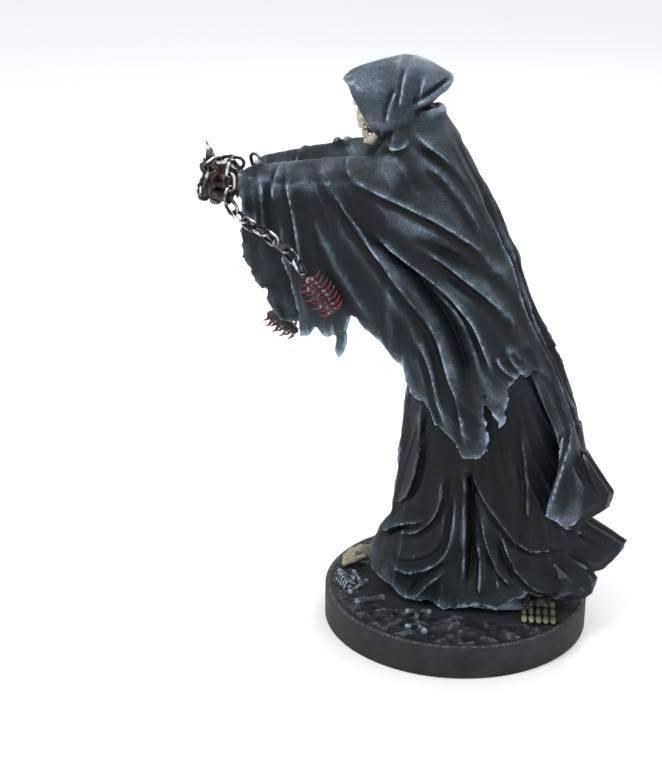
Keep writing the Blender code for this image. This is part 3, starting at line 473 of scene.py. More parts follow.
def robe_body(x, y, z, yy, zz):
    front, back = profile(z, ROBE_FRONT), profile(z, ROBE_BACK)
    along = (y - (front + back) / 2) / ((back - front) / 2)
    half_width = profile(z, ROBE_HALF_WIDTH)
    plain = rounded(x, half_width, along, ROBE_ROUNDNESS)
    ragged = 1.1 * grain(0 * yy, yy, zz, 3.1, 5) + 0.6 * grain(0 * yy, yy, zz, 1.4, 6)
    hem = both_sides(x, profile(yy, NEAR_ROBE_HEM) + ragged, profile(yy, FAR_ROBE_HEM) + ragged)
    relief = cloth_relief(x, yy, zz, ROBE_CREASES) + pleats(yy, zz, *ROBE_FAN)[None]
    ahead = eased(1.6 - 2.6 * np.abs(x) / half_width) * (along < 0)
    front = creases(x[:, 0], z[0], FRONT_CREASES) + pleats(x[:, 0], z[0], *FRONT_FAN)
    relief = relief * (1.0 - 0.9 * ahead) + ahead * front[:, None, :]
    skin = np.maximum(plain - relief, hem - z)
    return np.maximum(soft_join(skin, plain + 5.0, 1.0), z - ROBE_TOP)


def cape_and_chest(x, y, z, yy, zz):
    relief = cloth_relief(x, yy, zz, CAPE_CREASES)
    relief = relief + (pleats(yy, zz, *CAPE_FAN) * eased((194.0 - zz) / 14.0))[None]
    depth = profile(z, CAPE_DEPTH)
    start = profile(z, CAPE_BACK) - depth
    behind = np.clip((y - start) / depth * 2.5 - 1.4, 0.0, 1.0)
    back = creases(x[:, 0], z[0], BACK_CREASES) + pleats(x[:, 0], z[0], *BACK_FAN)
    relief = relief * (1.0 - 0.7 * behind) + behind * back[:, None, :]
    half_width = np.minimum(profile(z, CAPE_HALF_WIDTH), profile(y, SLEEVE_HALF_WIDTH))
    skin = rounded(x, half_width, np.clip((y - start) / depth, 0.0, None)) - relief
    ragged = 0.8 * grain(0 * yy, yy, zz, 3.3, 1) + 0.5 * grain(0 * yy, yy, zz, 1.5, 2)
    ragged = ragged * np.clip((38.0 - yy) / 12.0, 0.12, 1.0)
    near_cut = (outline_distance(yy, zz, NEAR_HEM + CAPE_TOP) + ragged)[None]
    far_cut = (outline_distance(yy, zz, FAR_HEM + CAPE_TOP) + ragged)[None]
    cut = np.where(x > profile(y, NEAR_CUT_REACH), near_cut, far_cut)
    thickness = 1.5 + 1.5 * np.clip(-cut / 7.0, 0.0, 1.0)
    cape = np.maximum(np.maximum(skin, -skin - thickness), cut)
    reach = np.where(y > start, (y - start) / depth, (start - y) / profile(z, CHEST_DEPTH))
    chest = rounded(x, half_width - 0.6, reach) - relief
    chest = np.maximum(np.maximum(chest, CHEST_FOOT - z), z - CHEST_TOP)
    arms = []
    for side in (1.0, -1.0):
        for (ya, za), (yb, zb) in zip(ARM_LINE, ARM_LINE[1:]):
            ra, rb = float(profile(ya, ARM_RADIUS)), float(profile(yb, ARM_RADIUS))
            xa = side * (float(profile(ya, SLEEVE_HALF_WIDTH)) - ra)
            xb = side * (float(profile(yb, SLEEVE_HALF_WIDTH)) - rb)
            arms.append(rod(x, y, z, (xa, ya, za), (xb, yb, zb), ra, rb))
    arms = np.minimum.reduce(arms) - 0.8 * relief
    return soft_join(soft_join(cape, chest, 1.5), arms, 4.0)


def hood(x, y, z, yy, zz):
    side = outline_distance(yy, zz, HOOD_SIDE)[None]
    shell = pillow(x, side, profile(y, HOOD_HALF_WIDTH), HOOD_ROUND_OVER)
    return np.maximum(shell - creases(yy, zz, HOOD_CREASES)[None], -egg(x, y, z, *FACE_HOLLOW))


def cloth_field(x, y, z):
    yy, zz = y[0], z[0]
    figure = soft_join(cape_and_chest(x, y, z, yy, zz), robe_body(x, y, z, yy, zz), 1.0)
    figure = soft_join(figure, hood(x, y, z, yy, zz), 1.5)
    for middle, lean, outline in TONGUES:
        root, tip = outline[0][0], max(p[0] for p in outline)
        across = x - middle - lean * (y - root)
        half_width = profile(y, list(zip((root, tip), TONGUE_HALF_WIDTHS)))
        waves = 0.9 * np.cos(2 * math.pi * across / 6.5) + 0.35 * np.cos(2 * math.pi * across / 2.7 + 1.0)
        edge = outline_distance(yy, zz, outline)[None] + waves - creases(yy, zz, TONGUE_CREASES)[None]
        figure = soft_join(figure, pillow(across, edge, half_width, TONGUE_ROUND_OVER), 2.0)
    for knot in SLEEVE_KNOTS:
        figure = soft_join(figure, egg(x, y, z, knot, KNOT_RADII), 1.0)
    figure = np.maximum(figure, -egg(x, y, z, *TOE_ARCH))
    rim = np.clip((np.sqrt(x * x + y * y) - RIM_START) / RIM_EASE, 0.0, 1.0) * RIM_CLEARANCE
    return np.maximum(figure, FOOT_LEVEL + rim - z)


CORNERS = [(i, j, k) for i in (0, 1) for j in (0, 1) for k in (0, 1)]


def corner_view(array, corner):
    return array[tuple(slice(c, n - 1 + c) for c, n in zip(corner, array.shape))]


def skin_of(field, low, cell):
    """Points and four-sided faces over the zero level of a field."""
    inside = field < 0
    count = sum(corner_view(inside, c).astype(np.int8) for c in CORNERS)
    active = (count > 0) & (count < 8)
    number = np.full(active.shape, -1, dtype=np.int64)
    number[active] = np.arange(int(active.sum()))
    values = {c: corner_view(field, c)[active] for c in CORNERS}
    total, hits = np.zeros((int(active.sum()), 3)), np.zeros(int(active.sum()))
    for c in CORNERS:
        for axis in range(3):
            if c[axis]:
                continue
            d = tuple(1 if k == axis else c[k] for k in range(3))
            fa, fb = values[c], values[d]
            cross = (fa < 0) != (fb < 0)
            t = np.where(cross, fa / np.where(cross, fa - fb, 1.0), 0.0)
            total += (np.array(c, dtype=float) + t[:, None] * (np.array(d) - np.array(c))) * cross[:, None]
            hits += cross
    points = (np.argwhere(active) + total / hits[:, None]) * cell + np.array(low)
    faces = []
    for axis in range(3):
        b, c = (axis + 1) % 3, (axis + 2) % 3
        here = np.take(inside, range(field.shape[axis] - 1), axis)
        there = np.take(inside, range(1, field.shape[axis]), axis)
        places = np.argwhere(here != there)
        outward = here[tuple(places.T)]
        ring = []
        for step_b, step_c in ((1, 1), (0, 1), (0, 0), (1, 0)):
            spot = places.copy()
            spot[:, b] -= step_b
            spot[:, c] -= step_c
            ring.append(number[tuple(spot.T)])
        ring = np.stack(ring, axis=1)
        faces.append(np.where(outward[:, None], ring, ring[:, ::-1]))
    return points, np.concatenate(faces)


def main_body(points, faces, least):
    """Drops stray crumbs: bodies with fewer points than least."""
    root = np.arange(len(points))
    pairs = np.concatenate([faces[:, [0, 1]], faces[:, [1, 2]], faces[:, [2, 3]]])
    while True:
        low = np.minimum(root[pairs[:, 0]], root[pairs[:, 1]])
        before = root.copy()
        np.minimum.at(root, pairs[:, 0], low)
        np.minimum.at(root, pairs[:, 1], low)
        root = root[root]
        if (root == before).all():
            break
    size = np.bincount(root, minlength=len(points))
    keep = size[root] >= least
    renumber = np.cumsum(keep) - 1
    return points[keep], renumber[faces[keep[faces[:, 0]]]]


def thin_out(item, faces_wanted):
    """Fewer triangles, kept where the surface bends."""
    item.data.calc_loop_triangles()
    whole = len(item.data.loop_triangles)
    if whole > faces_wanted:
        fewer = item.modifiers.new("fewer", 'DECIMATE')
        fewer.ratio = faces_wanted / whole
        graph = bpy.context.evaluated_depsgraph_get()
        mesh = bpy.data.meshes.new_from_object(item.evaluated_get(graph))
        item.modifiers.clear()
        item.data = mesh
        mesh.polygons.foreach_set("use_smooth", [True] * len(mesh.polygons))


def mark_wear_and_shade(item, scales=(("crest", 3), ("swell", 30))):
    """Where dry brushing catches, and where washes and painted shade lie: how far each point stands out of
    its smoothed surroundings.
    """
    mesh = item.data
    count = len(mesh.vertices)
    place = np.zeros(count * 3)
    mesh.vertices.foreach_get("co", place)
    place = place.reshape(-1, 3)
    normal = np.zeros(count * 3)
    mesh.vertices.foreach_get("normal", normal)
    normal = normal.reshape(-1, 3)
    edge = np.zeros(len(mesh.edges) * 2, dtype=np.int32)
    mesh.edges.foreach_get("vertices", edge)
    a, b = edge.reshape(-1, 2).T
    ends, others = np.concatenate([a, b]), np.concatenate([b, a])
    links = np.bincount(ends, minlength=count).clip(1)
    smooth, done = place.copy(), 0
    for name, rounds in scales:
        for _ in range(rounds - done):
            pull = np.stack([np.bincount(ends, smooth[others, i], count) for i in range(3)], axis=1)
            smooth = 0.4 * smooth + 0.6 * pull / links[:, None]
        done = rounds
        stand_out = ((place - smooth) * normal).sum(axis=1) * 1000.0
        for _ in range(2):
            stand_out = 0.5 * stand_out + 0.5 * np.bincount(ends, stand_out[others], count) / links
        mesh.attributes.new(name, 'FLOAT', 'POINT').data.foreach_set("value", stand_out.astype(np.float32))


def field_piece(name, field_of, low, high, cell, paint, least=200, faces_wanted=190000):
    axes = [np.arange(a, b, cell, dtype=np.float32) for a, b in zip(low, high)]
    x, y, z = axes[0][:, None, None], axes[1][None, :, None], axes[2][None, None, :]
    field = field_of(x, y, z).astype(np.float32)
    for axis in range(3):
        side = np.moveaxis(field, axis, 0)
        side[0] = side[-1] = cell
    points, faces = main_body(*skin_of(field, low, cell), least)
    item = laid_out(name, (points * UNIT + np.array((0.0, 0.0, LIFT))).tolist(), faces.tolist(), paint)
    thin_out(item, faces_wanted)
    mark_wear_and_shade(item)
    return item


def robe_finish(name, edge_at, swell_at, dark=(0.0060, 0.0082, 0.0112), middle=(0.066, 0.087, 0.110),
                pale=(0.34, 0.41, 0.49)):
    """Blue-black paint with a dusty sheen on broad rises and fine pale dry-brushed lines on sharp crests,
    with painted shade in the hollows, under the cape and inside the far sleeve, and a painted highlight on
    the hood top.
    """
    cloth = Finish(name)
    patches = cloth.noise(60.0, 4.0)
    speck, fine = cloth.noise(1500.0, 3.0, 0.75), cloth.noise(2600.0, 2.0, 0.8)
    crest, swell = cloth.attribute("crest"), cloth.attribute("swell")
    beside, behind, tall = [cloth.place(axis) for axis in "XYZ"]
    # Painted highlight: the sheen is raised towards the top of the figure, over the hood.
    sheen = swell.ramp(*swell_at) * (0.25 + patches.ramp(0.38, 0.62) * 0.9) + tall.ramp(0.178, 0.200) * 0.22
    # Painted shade: the sheen and the pale lines are dimmed on the lower robe under the cape and on the inner
    # face of the far sleeve; they are also dimmed on the lower back of the cape.
    flap = behind.ramp(0.033, 0.037) * behind.ramp(0.050, 0.045) * tall.ramp(0.042, 0.048)
    skirt_shade = tall.ramp(0.090, 0.076) * tall.ramp(0.015, 0.019) * (1.0 - flap)
    back_panel = behind.ramp(0.028, 0.034) * tall.ramp(0.125, 0.108) * (1.0 - flap)
    far_sleeve_shade = beside.ramp(0.004, -0.008) * behind.ramp(-0.044, -0.056)
    bare = 1.0 - (skirt_shade * 0.62 + far_sleeve_shade * 0.65 + back_panel * 0.5).held()
    sheen = sheen * bare
    body = cloth.mix((sheen * (0.45 + fine * 0.9)).held(), dark, middle)
    line = crest.ramp(*edge_at) * (0.35 + speck.ramp(0.36, 0.60) * 0.65) * (0.35 + bare * 0.65)
    dust_and_sheen = sheen * 0.34 * fine.ramp(0.48, 0.66)
    brush_and_sheen = (line * 0.80 + dust_and_sheen + fine.ramp(0.60, 0.74) * 0.10).held()
    colour = cloth.mix(brush_and_sheen, body, pale)
    # Painted shade: hollows and creases are darkened towards near black, and so is the robe under the cape's
    # hem.
    hollow = (swell.ramp(0.02, -0.50) * 0.75 + crest.ramp(-0.02, -0.13) * 0.6).held()
    shade_under_cape = tall.ramp(0.118, 0.106) * tall.ramp(0.040, 0.062)
    shade_under_cape = shade_under_cape * behind.ramp(-0.024, -0.014) * behind.ramp(0.040, 0.034)
    shade_under_cape = shade_under_cape * beside.ramp(0.0215, 0.0195) * beside.ramp(-0.0215, -0.0195)
    colour = cloth.mix((hollow * 0.9 + shade_under_cape * 0.6).held(), colour, (0.0026, 0.0034, 0.0046))
    weave = speck * 0.5 + fine * 0.5 + patches * 0.5
    return cloth.done(colour, 0.48 + speck * 0.2 + brush_and_sheen * 0.1, weave, 0.00009, specular=0.2)


robe_paint = robe_finish("robe_paint", (0.090, 0.190), (-0.05, 0.80))
reach_x = max(w for _, w in CAPE_HALF_WIDTH) + 4.0
robe = field_piece("robe", cloth_field, (-reach_x, FIGURE_FRONT, FOOT_LEVEL - 2.0),
                   (reach_x, FIGURE_BACK, FIGURE_TOP), FIGURE_CELL, robe_paint, 4000, FIGURE_FACES)
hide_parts("reaper")
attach(robe, "root")


# The bones: a skull inside the hood, two fists and two feet, part of the same casting,
# painted bone with a brown wash in the hollows; the fists are rusty brown. The upper rows
# of the near toes are darkened as painted shade.
SKULL_CELL = 0.3
FISTS = [(5.0, -88.0, 166.0), (-6.5, -89.9, 163.5)]
WRIST = (-77, 165.5)
FINGER_TOP, FINGER_PITCH, FINGER_THICKNESS = 5.6, 3.5, 1.75
HANDLE_FOOT, HANDLE_HEAD, HANDLE_TIP = (4.0, -93.0, 157.0), (4.0, -95.0, 173.0), (3.8, -96.9, 180.2)
GRIP_RADIUS = 2.6
TEETH, TOES = 7, 5


def skull_field(x, y, z):
    head = egg(x, y, z, (0, -30, 199.5), (7.6, 10.8, 8.6))
    head = soft_join(head, egg(x, y, z, (0, -37, 192.8), (5.0, 5.0, 4.6)), 2.0)
    for side in (1.0, -1.0):
        cheek = rod(x, y, z, (side * 5.0, -38.0, 193.0), (side * 6.4, -31, 194.5), 1.3, 1.1)
        brow = rod(x, y, z, (side * 1.2, -41.9, 197.0), (side * 6.0, -38.6, 197.4), 1.1, 0.9)
        head = soft_join(soft_join(head, cheek, 0.8), brow, 0.8)
        head = np.maximum(head, -egg(x, y, z, (side * 3.3, -41.4, 194.9), (2.1, 3.3, 1.9)))
    head = np.maximum(head, -egg(x, y, z, (0, -42.2, 191.9), (1.1, 2.2, 1.5)))
    jaw = soft_join(rod(x, y, z, (-3.0, -35.2, 184.4), (3.0, -35.2, 184.4), 1.8, 1.8),
                    egg(x, y, z, (0, -37.0, 183.2), (2.7, 2.1, 2.0)), 1.0)
    for side in (1.0, -1.0):
        ramus = rod(x, y, z, (side * 3.0, -35.2, 184.4), (side * 5.2, -29.5, 191.5), 1.5, 1.5)
        jaw = soft_join(jaw, ramus, 1.0)
    head = np.minimum(head, jaw)
    for i in range(TEETH):
        turn = (i - TEETH // 2) * 0.36
        tx, ty = 4.1 * math.sin(turn), -37.0 - 3.7 * math.cos(turn)
        upper = rod(x, y, z, (tx, ty, 190.4), (tx, ty, 188.7), 0.66, 0.52)
        lower = rod(x, y, z, (tx * 0.9, ty + 1.6, 185.6), (tx * 0.9, ty + 1.4, 187.3), 0.6, 0.5)
        head = np.minimum(np.minimum(head, upper), lower)
    return head


def finger(x, y, z, joints, thick):
    """Finger or toe bones: thick at the joints, waisted between."""
    parts = []
    for a, b in zip(joints, joints[1:]):
        middle = [(p + q) / 2 for p, q in zip(a, b)]
        parts.append(rod(x, y, z, a, middle, thick, thick * 0.72))
        parts.append(rod(x, y, z, middle, b, thick * 0.72, thick))
    return np.minimum.reduce(parts)


def fists_field(x, y, z):
    bones = []
    for hx, hy, hz in FISTS:
        for shift in (-1.5, 1.5):
            bones.append(rod(x, y, z, (hx + shift, *WRIST), (hx + shift, hy + 3, hz), 1.9, 2.1))
        bones.append(egg(x, y, z, (hx, hy + 0.5, hz), (4.2, 3.4, 5.6)))
        for i in range(4):
            fz = hz + FINGER_TOP - FINGER_PITCH * i
            joints = [(hx + 3.4, hy - 0.5, fz), (hx + 4.6, hy - 4.0, fz + 0.9),
                      (hx + 4.2, hy - 7.4, fz - 0.3),
                      (hx + 0.6, hy - 8.4, fz + 0.2), (hx - 3.2, hy - 6.6, fz - 0.2)]
            bones.append(finger(x, y, z, joints, FINGER_THICKNESS))
    whole = np.broadcast_arrays(x, y, z)
    hands = np.minimum.reduce(bones) - 1.0 * grain(*whole, 2.1, 41) - 0.45 * grain(*whole, 1.0, 42)
    return np.maximum(hands, -rod(x, y, z, HANDLE_FOOT, HANDLE_HEAD, GRIP_RADIUS, GRIP_RADIUS))


def feet_field(x, y, z):
    bones = [rod(x, y, z, (6, 33, 17), (14, 35.3, 16.5), 4.2, 3.2),
             rod(x, y, z, (-6, -28, 19), (-6, -38, 17), 4.2, 3.0)]
    for i in range(TOES):
        first, last = (15.5, 28.9 + 2.6 * i, 17.0 + 0.2 * i), (24.4, 30.6 + 2.65 * i, 12.9 + 0.25 * i)
        for low, high in ((0.06, 0.18), (0.42, 0.54), (0.78, 0.90)):
            ends = [tuple(p + (q - p) * share for p, q in zip(first, last)) for share in (low, high)]
            bones.append(rod(x, y, z, *ends, 1.08, 1.0))
        far_x = -11.5 + 2.8 * i
        bones.append(finger(x, y, z, [(-7 + 0.6 * i, -35, 17.8), (far_x, -40.5, 16.4),
                                      (far_x, -45.0 + 0.5 * abs(i - 2), 14.4)], 1.3))
    return np.maximum(np.minimum.reduce(bones), FOOT_LEVEL + 0.05 - z)


def bone_finish(name, pale, wash_and_shade, washed, hollow_at=(0.02, -0.06)):
    bone = Finish(name)
    patches, speck = bone.noise(180.0, 4.0), bone.noise(1400.0, 2.0)
    crest = bone.attribute("crest")
    hollow = (crest.ramp(*hollow_at) * 0.8 + bone.attribute("swell").ramp(0.0, -0.5) * 0.6).held()
    tone = bone.mix(patches.ramp(0.35, 0.7) * 0.5, pale, [c * 0.62 for c in pale])
    beside, tall = bone.place("X"), bone.place("Z")
    # Painted shade: the upper rows of the near toes, in the hollow under the hem, are darkened towards the
    # wash colour.
    hollow = hollow + beside.ramp(0.010, 0.013) * tall.ramp(0.0134, 0.0156) * tall.ramp(0.030, 0.025) * 0.9
    colour = bone.mix((hollow + patches.ramp(0.55, 0.75) * 0.4 * washed).held(), tone, wash_and_shade)
    return bone.done(colour, 0.55 + speck * 0.15, speck, 0.00006)


skull = field_piece("skull", skull_field, (-9, -46, 182.5), (9, -19, 210), SKULL_CELL,
                    bone_finish("bone_paint", (0.56, 0.50, 0.38), (0.10, 0.055, 0.025), 0.5))
feet = field_piece("feet", feet_field, (-15, -48, FOOT_LEVEL - 1), (27, 47, 24.5), SKULL_CELL * 1.2,
                   bone_finish("foot_paint", (0.30, 0.26, 0.18), (0.020, 0.015, 0.010), 0.8, (0.045, 0.0)))
rusty = bone_finish("fist_paint", (0.060, 0.021, 0.015), (0.004, 0.003, 0.003), 1.6, (0.075, 0.015))
fists = field_piece("fists", fists_field, (-15, -102.5, 152), (14, -72, 178), SKULL_CELL * 1.2, rusty)
for bones in (skull, feet, fists):
    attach(bones, "root")


# The plinth: a turned resin disc with a thin lip and trodden ground inside it, where
# bones lie half sunk, painted dark grey and rubbed paler on the lip and the lumps.
RIM_STEP = 0.0005
EDGE_CHAMFER = 0.0006
LUMPS = [(32, 6, 4.5, 3.4), (40, -16, 6, 0.9), (33, -30, 6, 1.0), (8, -44, 5, 0.8), (-30, -20, 8, 1.4),
         (-36, 12, 7, 1.2), (-30, 30, 6, 1.0), (36, 26, 6, 0.8), (22, 41, 4, -0.8), (-20, -38, 6, 0.9)]
FOOTPRINT, FOOTPRINT_BACK, FOOTPRINT_POWER = (24.0, 40.0), 6.75, 2.6
CRUMBS = [(0.5, 4.2, 0.55, 11), (1.1, 2.3, 0.42, 12), (1.8, 1.5, 0.28, 13)]


def ground_height(gx, gy):
    """Rise of the ground in figure units, flat under the figure."""
    foot = (np.abs(gx) / FOOTPRINT[0]) ** FOOTPRINT_POWER
    foot = foot + (np.abs(gy - FOOTPRINT_BACK) / FOOTPRINT[1]) ** FOOTPRINT_POWER
    free = np.clip((foot ** (1 / FOOTPRINT_POWER) - 1.0) * 4.0, 0.0, 1.0)
    rise = 0.35 * np.sin(0.55 * gx + 1.1) * np.cos(0.47 * gy) + 0.05 * np.sin(0.9 * gx + 1.3 * gy)
    for cx, cy, size, tall in LUMPS:
        rise = rise + tall * np.exp(-((gx - cx) ** 2 + (gy - cy) ** 2) / (size * size))
    flat = 0 * gx
    crumbs = 0.0
    for turn, size, tall, seed in CRUMBS:
        c, sn = math.cos(turn), math.sin(turn)
        crumbs = crumbs + tall * grain(c * gx - sn * gy, sn * gx + c * gy, flat, size, seed)
    return (rise + crumbs) * free


def rings(around, levels, first=0):
    """Four-sided faces between rings of points that follow one another."""
    faces = []
    for at in range(first, first + (levels - 1) * around, around):
        for k in range(around):
            j = (k + 1) % around
            faces.append((at + k, at + j, at + around + j, at + around + k))
    return faces


sides, steps = ((360, 100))
inner = BASE_RADIUS - RIM_WIDTH
ground = PLINTH_THICKNESS - RIM_STEP
turns = np.arange(sides) * 2 * math.pi / sides
wall = [(BASE_RADIUS - 0.0002, 0.0), (BASE_RADIUS, 0.0002)]
wall += [(BASE_RADIUS, h) for h in np.linspace(0.002, PLINTH_THICKNESS - EDGE_CHAMFER, 6)]
wall += [(BASE_RADIUS - EDGE_CHAMFER * 0.3, PLINTH_THICKNESS - EDGE_CHAMFER * 0.3),
         (BASE_RADIUS - EDGE_CHAMFER, PLINTH_THICKNESS), (inner, PLINTH_THICKNESS),
         (inner - RIM_STEP, ground)]
rows = []
for reach, height in wall:
    out = reach + 0.00008 * np.sin(turns * 9 + 2.0) * (0 if reach == BASE_RADIUS else 1)
    rows.append(np.stack([out * np.cos(turns), out * np.sin(turns), 0 * turns + height], axis=1))
for step in range(1, steps):
    reach = (inner - RIM_STEP) * (1 - step / steps)
    gx, gy = reach * np.cos(turns), reach * np.sin(turns)
    fade = min(1.0, step / 3)
    rows.append(np.stack([gx, gy, ground + fade * UNIT * ground_height(gx / UNIT, gy / UNIT)], axis=1))
points = np.concatenate(rows + [np.array([[0, 0, 0.0], [0, 0, ground]])])
faces = rings(sides, len(rows))
last = (len(rows) - 1) * sides
for i in range(sides):
    j = (i + 1) % sides
    faces += [(len(points) - 2, j, i), (len(points) - 1, last + i, last + j)]

stone = Finish("plinth_paint")
patches, speck = stone.noise(90.0, 5.0), stone.noise(900.0, 3.0, 0.7)
crest, swell = stone.attribute("crest"), stone.attribute("swell")
grey = stone.mix(patches.ramp(0.3, 0.7), (0.012, 0.0133, 0.0150), (0.023, 0.025, 0.028))
rubbed = (crest.ramp(0.015, 0.07) * (0.1 + speck.ramp(0.42, 0.7) * 0.8)).held()
grey = stone.mix(rubbed * 0.6, grey, (0.20, 0.225, 0.25))
# Painted shade: the ground is darkened in its hollows.
grey = stone.mix(swell.ramp(-0.02, -0.12) * 0.7, grey, (0.008, 0.009, 0.011))
plinth_paint = stone.done(grey, 0.55 + speck * 0.2, speck + patches * 0.5, 0.00008, specular=0.22)

plinth = laid_out("plinth", points.tolist(), faces, plinth_paint)
mark_wear_and_shade(plinth, (("crest", 3), ("swell", 25)))
lip = np.hypot(points[:, 0], points[:, 1]) > inner - 0.0001
on_top = points[:, 2] > PLINTH_THICKNESS - EDGE_CHAMFER * 0.5
# On the lip, the rubbed paler paint is set to a fixed amount on its top and none on its side, and the painted
# shade is taken off it.
for name, on_lip in (("crest", 0.05), ("swell", 0.0)):
    wear_and_shade = np.zeros(len(points), dtype=np.float32)
    marks = plinth.data.attributes[name].data
    marks.foreach_get("value", wear_and_shade)
    wear_and_shade[lip] = np.where(on_top[lip], on_lip, 0.0)
    marks.foreach_set("value", wear_and_shade)
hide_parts("base")
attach(plinth, "root")


# The remains: loose bones and a small rib cage, half sunk in the ground, cast with the
# plinth and picked out paler than it.
REMAINS = [((4.5, -44.8), (8.5, -38.5), 1.0), ((2.6, -39.5), (11.0, -34.5), 0.9),
           ((9.5, -43.0), (15.0, -38.0), 0.9), ((9.0, -33.0), (18.0, -37.0), 1.0),
           ((26.8, -31.9), (19.5, -24.5), 1.1), ((27.5, -12.5), (26.0, -5.0), 1.0),
           ((28.0, -9.0), (36.0, -7.0), 1.1), ((36.0, -7.0), (41.0, -3.5), 1.0),
           ((36.0, -7.5), (39.5, -10.0), 0.9), ((-32.0, 2.0), (-38.0, -8.0), 1.1)]
REMAINS_CELL = 0.42
BONE_BED, BONE_RISE = 12.2, 0.45
RIBS, RIB_THICKNESS, RIB_FOOT, RIB_TOP = 5, 0.45, 12.6, 14.6


def remains_field(x, y, z):
    bones = []
    for (ax, ay), (bx, by), thick in REMAINS:
        ground_a, ground_b = ground_height(np.array([ax, bx]), np.array([ay, by])).tolist()
        ends = [(ax, ay, BONE_BED + ground_a + BONE_RISE), (bx, by, BONE_BED + ground_b + BONE_RISE)]
        bones.append(finger(x, y, z, ends, thick * 1.15))
    for i in range(RIBS):
        rx, ry = 6.0 + 1.5 * i, -41.5 + 1.1 * i
        top = (rx + 2.6, ry - 2.4, RIB_TOP)
        bones.append(rod(x, y, z, (rx, ry, RIB_FOOT), top, RIB_THICKNESS, RIB_THICKNESS))
        bones.append(rod(x, y, z, top, (rx + 5.0, ry - 2.8, RIB_FOOT), RIB_THICKNESS, 0.4))
    return np.minimum.reduce(bones) - 0.12 * grain(*np.broadcast_arrays(x, y, z), 1.2, 21)


remains_paint = robe_finish("remains_paint", (0.050, 0.10), (0.2, 0.6), dark=(0.022, 0.025, 0.029),
                            middle=(0.090, 0.102, 0.115))
remains = field_piece("remains", remains_field, (-42, -49, 10.5), (45, 6, 18), REMAINS_CELL,
                      remains_paint, 30)
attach(remains, "root")


# The flail: a handle in the fists, two chains of oval links and two clawed heads, cast in
# resin. Handle and chains are silver with black in the hollows; the heads are dark, with
# red along the claws.
LINK_LENGTH = 0.0072
LINK_WIDTH = 0.0052
LINK_WIRE = 0.0013
LINK_BITE = 0.00036
HEAD_CORE = 0.0054
HEAD_ROWS, HEAD_SIDES = 8, 8
CLAW_LENGTH, CLAW_THICKNESS, CLAW_BEND = 0.0034, 0.00075, 0.0014
HANDLE_DIAMETER = 0.0040
NEAR_CHAIN = [(12.5, -80.2, 174.8), (14.0, -82.7, 176.8), (15.0, -84.6, 173.3), (15.4, -83.8, 168.0),
              (16.0, -84.8, 160.4), (17.8, -79.5, 155.8), (21.2, -69.6, 152.5), (23.2, -62.4, 148.6),
              (25.2, -55.6, 143.6), (26.0, -54.0, 140.7)]
WOUND_CHAIN = [(11.4, -95.6, 160.5), (11.8, -95.4, 166.0), (11.2, -93.8, 171.6), (9.8, -90.0, 174.6),
               (11.6, -84.8, 176.0)]
FAR_CHAIN = [(-15.4, -84.5, 171.0), (-17.4, -82.5, 160.0), (-18.2, -80.5, 150.0), (-18.6, -79.0, 140.0),
             (-19.0, -78.0, 130.0), (-19.4, -77.4, 120.0), (-19.5, -77.0, 110.1)]
NEAR_HEAD = [(26.4, -52.4, 139.1), (26.8, -42.0, 127.0)]
FAR_HEAD = [(-19.5, -81.0, 108.1), (-19.5, -68.6, 101.2)]


def in_metres(point):
    return Vector((point[0] * UNIT, point[1] * UNIT, point[2] * UNIT + LIFT))


def silver_finish(name, grimy):
    silver = Finish(name)
    patches, speck = silver.noise(260.0, 3.0), silver.noise(1600.0, 2.0)
    grime = (silver.attribute("crest").ramp(0.108, 0.066) * 0.95 + patches.ramp(*grimy) * 0.9).held()
    colour = silver.mix(grime, (0.62, 0.62, 0.64), (0.016, 0.016, 0.018))
    return silver.done(colour, 0.26 + grime * 0.35 + speck * 0.1, speck, 0.00005, metallic=0.75)


silver_paint = silver_finish("silver_paint", (0.46, 0.60))


def bare_piece(name, points, faces, paint, node):
    """Piece from points in metres, given wear marks like the rest, in place of its solid."""
    item = laid_out(name, points, faces, paint)
    outward = bmesh.new()
    outward.from_mesh(item.data)
    bmesh.ops.recalc_face_normals(outward, faces=outward.faces[:])
    outward.to_mesh(item.data)
    outward.free()
    mark_wear_and_shade(item, (("crest", 2), ("swell", 8)))
    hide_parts(node)
    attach(item, "root")
    return item


def chain_links(path, points, faces):
    """Oval links along a path, each turned a quarter from the last."""
    path = [in_metres(p) for p in path]
    stops = np.cumsum([0.0] + [(b - a).length for a, b in zip(path, path[1:])])
    pitch = LINK_LENGTH - 2 * LINK_WIRE + LINK_BITE
    count = max(2, round(stops[-1] / pitch))
    spots = [Vector([np.interp(i * stops[-1] / count, stops, [p[k] for p in path]) for k in range(3)])
             for i in range(count + 1)]
    around, section = 28, 10
    for i, (a, b) in enumerate(zip(spots, spots[1:])):
        along = (b - a).normalized()
        across = along.cross(Vector((1.0, 0.12, 0.2))).normalized()
        turn = math.radians(25 + 90 * (i % 2))
        across = math.cos(turn) * across + math.sin(turn) * along.cross(across)
        out = along.cross(across)
        straight = ((b - a).length + LINK_LENGTH - pitch - LINK_WIDTH) / 2
        loop, first = (LINK_WIDTH - LINK_WIRE) / 2, len(points)
        for k in range(around):
            t = 2 * math.pi * (k + 0.5) / around
            ray = along * math.cos(t) + across * math.sin(t)
            spine = (a + b) / 2 + along * (math.copysign(straight, math.cos(t))) + loop * ray
            for m in range(section):
                s = 2 * math.pi * m / section
                points.append(spine + LINK_WIRE / 2 * (math.cos(s) * ray + math.sin(s) * out))
                j, n = (k + 1) % around, (m + 1) % section
                faces.append((first + k * section + m, first + k * section + n, first + j * section + n,
                              first + j * section + m))


def chain(name, path, node, wound=None):
    points, faces = [], []
    for run in (path, wound) if wound else (path,):
        chain_links(run, points, faces)
    return bare_piece(name, points, faces, silver_paint, node)


chain("chain_near", NEAR_CHAIN, "flail_chain_near", WOUND_CHAIN)
chain("chain_far", FAR_CHAIN, "flail_chain_far")

